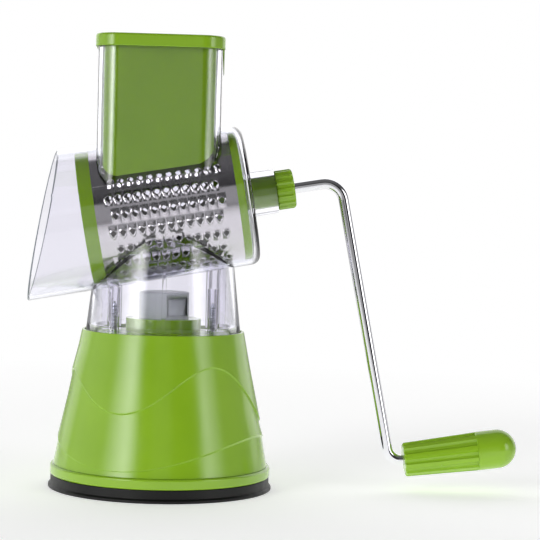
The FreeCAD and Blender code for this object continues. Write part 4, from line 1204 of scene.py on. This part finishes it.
def make_world():
    world = bpy.data.worlds.new("studio")
    world.use_nodes = True
    tree = world.node_tree
    tree.nodes.clear()
    place = add(tree, "ShaderNodeTexCoord")
    parts = add(tree, "ShaderNodeSeparateXYZ", links={"Vector": place.outputs["Generated"]})
    across, back, up = [parts.outputs[axis] for axis in "XYZ"]
    aside = add(tree, MATH, WITHOUT_SIGN, {0: across})
    narrow = add(tree, RANGE, between(1.0, 0.0, *PANEL_SIDE), {"Value": aside})
    low = add(tree, RANGE, between(ROOM_GREY, 0.0, *PANEL_TOP), {"Value": up})
    panel = add(tree, MATH, TIMES, {0: narrow, 1: low})
    dark = add(tree, RANGE, between(*ROOM_DARK, *ROOM_FADE), {"Value": up})
    room = add(tree, MATH, LARGER, {0: panel, 1: dark})
    backdrop = add(tree, RANGE, between(0.0, BACKDROP, *BACKDROP_EDGE), {"Value": back})
    around = add(tree, MATH, LARGER, {0: backdrop, 1: room})
    angle = angle_round(tree, across, back)
    above = add(tree, RANGE, between(0.0, 1.0, *BOX_BOTTOM), {"Value": up})
    below = add(tree, RANGE, between(1.0, 0.0, *BOX_TOP), {"Value": up})
    upright = add(tree, MATH, TIMES, {0: above, 1: below})
    for wall in SIDE_WALLS:
        white = add(tree, RANGE, between(0.0, wall["level"], *wall["reach"]), {"Value": across})
        around = add(tree, MATH, LARGER, {0: around, 1: white})
    for box in SOFT_BOXES:
        sharp = add(tree, RANGE, between(0.0, 1.0, *map(math.radians, box["sharp"])), {"Value": angle})
        fading = add(
            tree, RANGE, between(box["level"], 0.0, *map(math.radians, box["fading"])), {"Value": angle}
        )
        wide = add(tree, MATH, TIMES, {0: sharp, 1: fading})
        glow = add(tree, MATH, TIMES, {0: wide, 1: upright})
        around = add(tree, MATH, PLUS, {0: around, 1: glow})
    direct, behind = background(tree, angle)
    level = add(tree, MIX, {"data_type": "FLOAT"}, {"Factor": direct, "A": around, "B": behind})
    light = add(tree, "ShaderNodeBackground", {"Color": colour("FFFFFF")}, {"Strength": level})
    add(tree, "ShaderNodeOutputWorld", links={"Surface": light})
    bpy.context.scene.world = world


FILL_HEIGHT = 1.4
FILL_WIDTH = 1.4
FILL_WATTS = 1.2


def make_overhead_fill():
    """Soft lamp above the object that neither metal nor clear plastic shows."""
    data = bpy.data.lights.new("overhead_fill", "AREA")
    data.shape = "SQUARE"
    data.size = FILL_WIDTH
    data.energy = FILL_WATTS
    lamp = bpy.data.objects.new("overhead_fill", data)
    lamp.location = (0, 0, FILL_HEIGHT)
    lamp.visible_glossy = False
    lamp.visible_transmission = False
    bpy.context.scene.collection.objects.link(lamp)


# Camera, fitted to the photograph
CAMERA_DISTANCE = 1.1001
CAMERA_HEIGHT = 0.1742
CAMERA_PAN = 0.0536
CAMERA_PITCH = 0.0464
CAMERA_ROLL = 0.0262
FOCAL_PIXELS = 1965.08
IMAGE_WIDTH = 540


def make_camera():
    """Camera turned by its pan, then its pitch, then its roll."""
    data = bpy.data.cameras.new("camera")
    data.sensor_width = 36.0
    data.lens = FOCAL_PIXELS / IMAGE_WIDTH * data.sensor_width
    camera = bpy.data.objects.new("camera", data)
    across = Vector((math.cos(CAMERA_PAN), -math.sin(CAMERA_PAN), 0))
    level = Vector((math.sin(CAMERA_PAN), math.cos(CAMERA_PAN), 0))
    forward = math.cos(CAMERA_PITCH) * level - math.sin(CAMERA_PITCH) * UP
    above = math.sin(CAMERA_PITCH) * level + math.cos(CAMERA_PITCH) * UP
    right = math.cos(CAMERA_ROLL) * across + math.sin(CAMERA_ROLL) * above
    top = math.cos(CAMERA_ROLL) * above - math.sin(CAMERA_ROLL) * across
    turn = Matrix((right, top, -forward)).transposed().to_4x4()
    camera.matrix_world = Matrix.Translation((0, -CAMERA_DISTANCE, CAMERA_HEIGHT)) @ turn
    bpy.context.scene.collection.objects.link(camera)
    bpy.context.scene.camera = camera


make_floor()
make_world()
make_overhead_fill()
make_camera()
bpy.context.scene.view_settings.view_transform = "Standard"
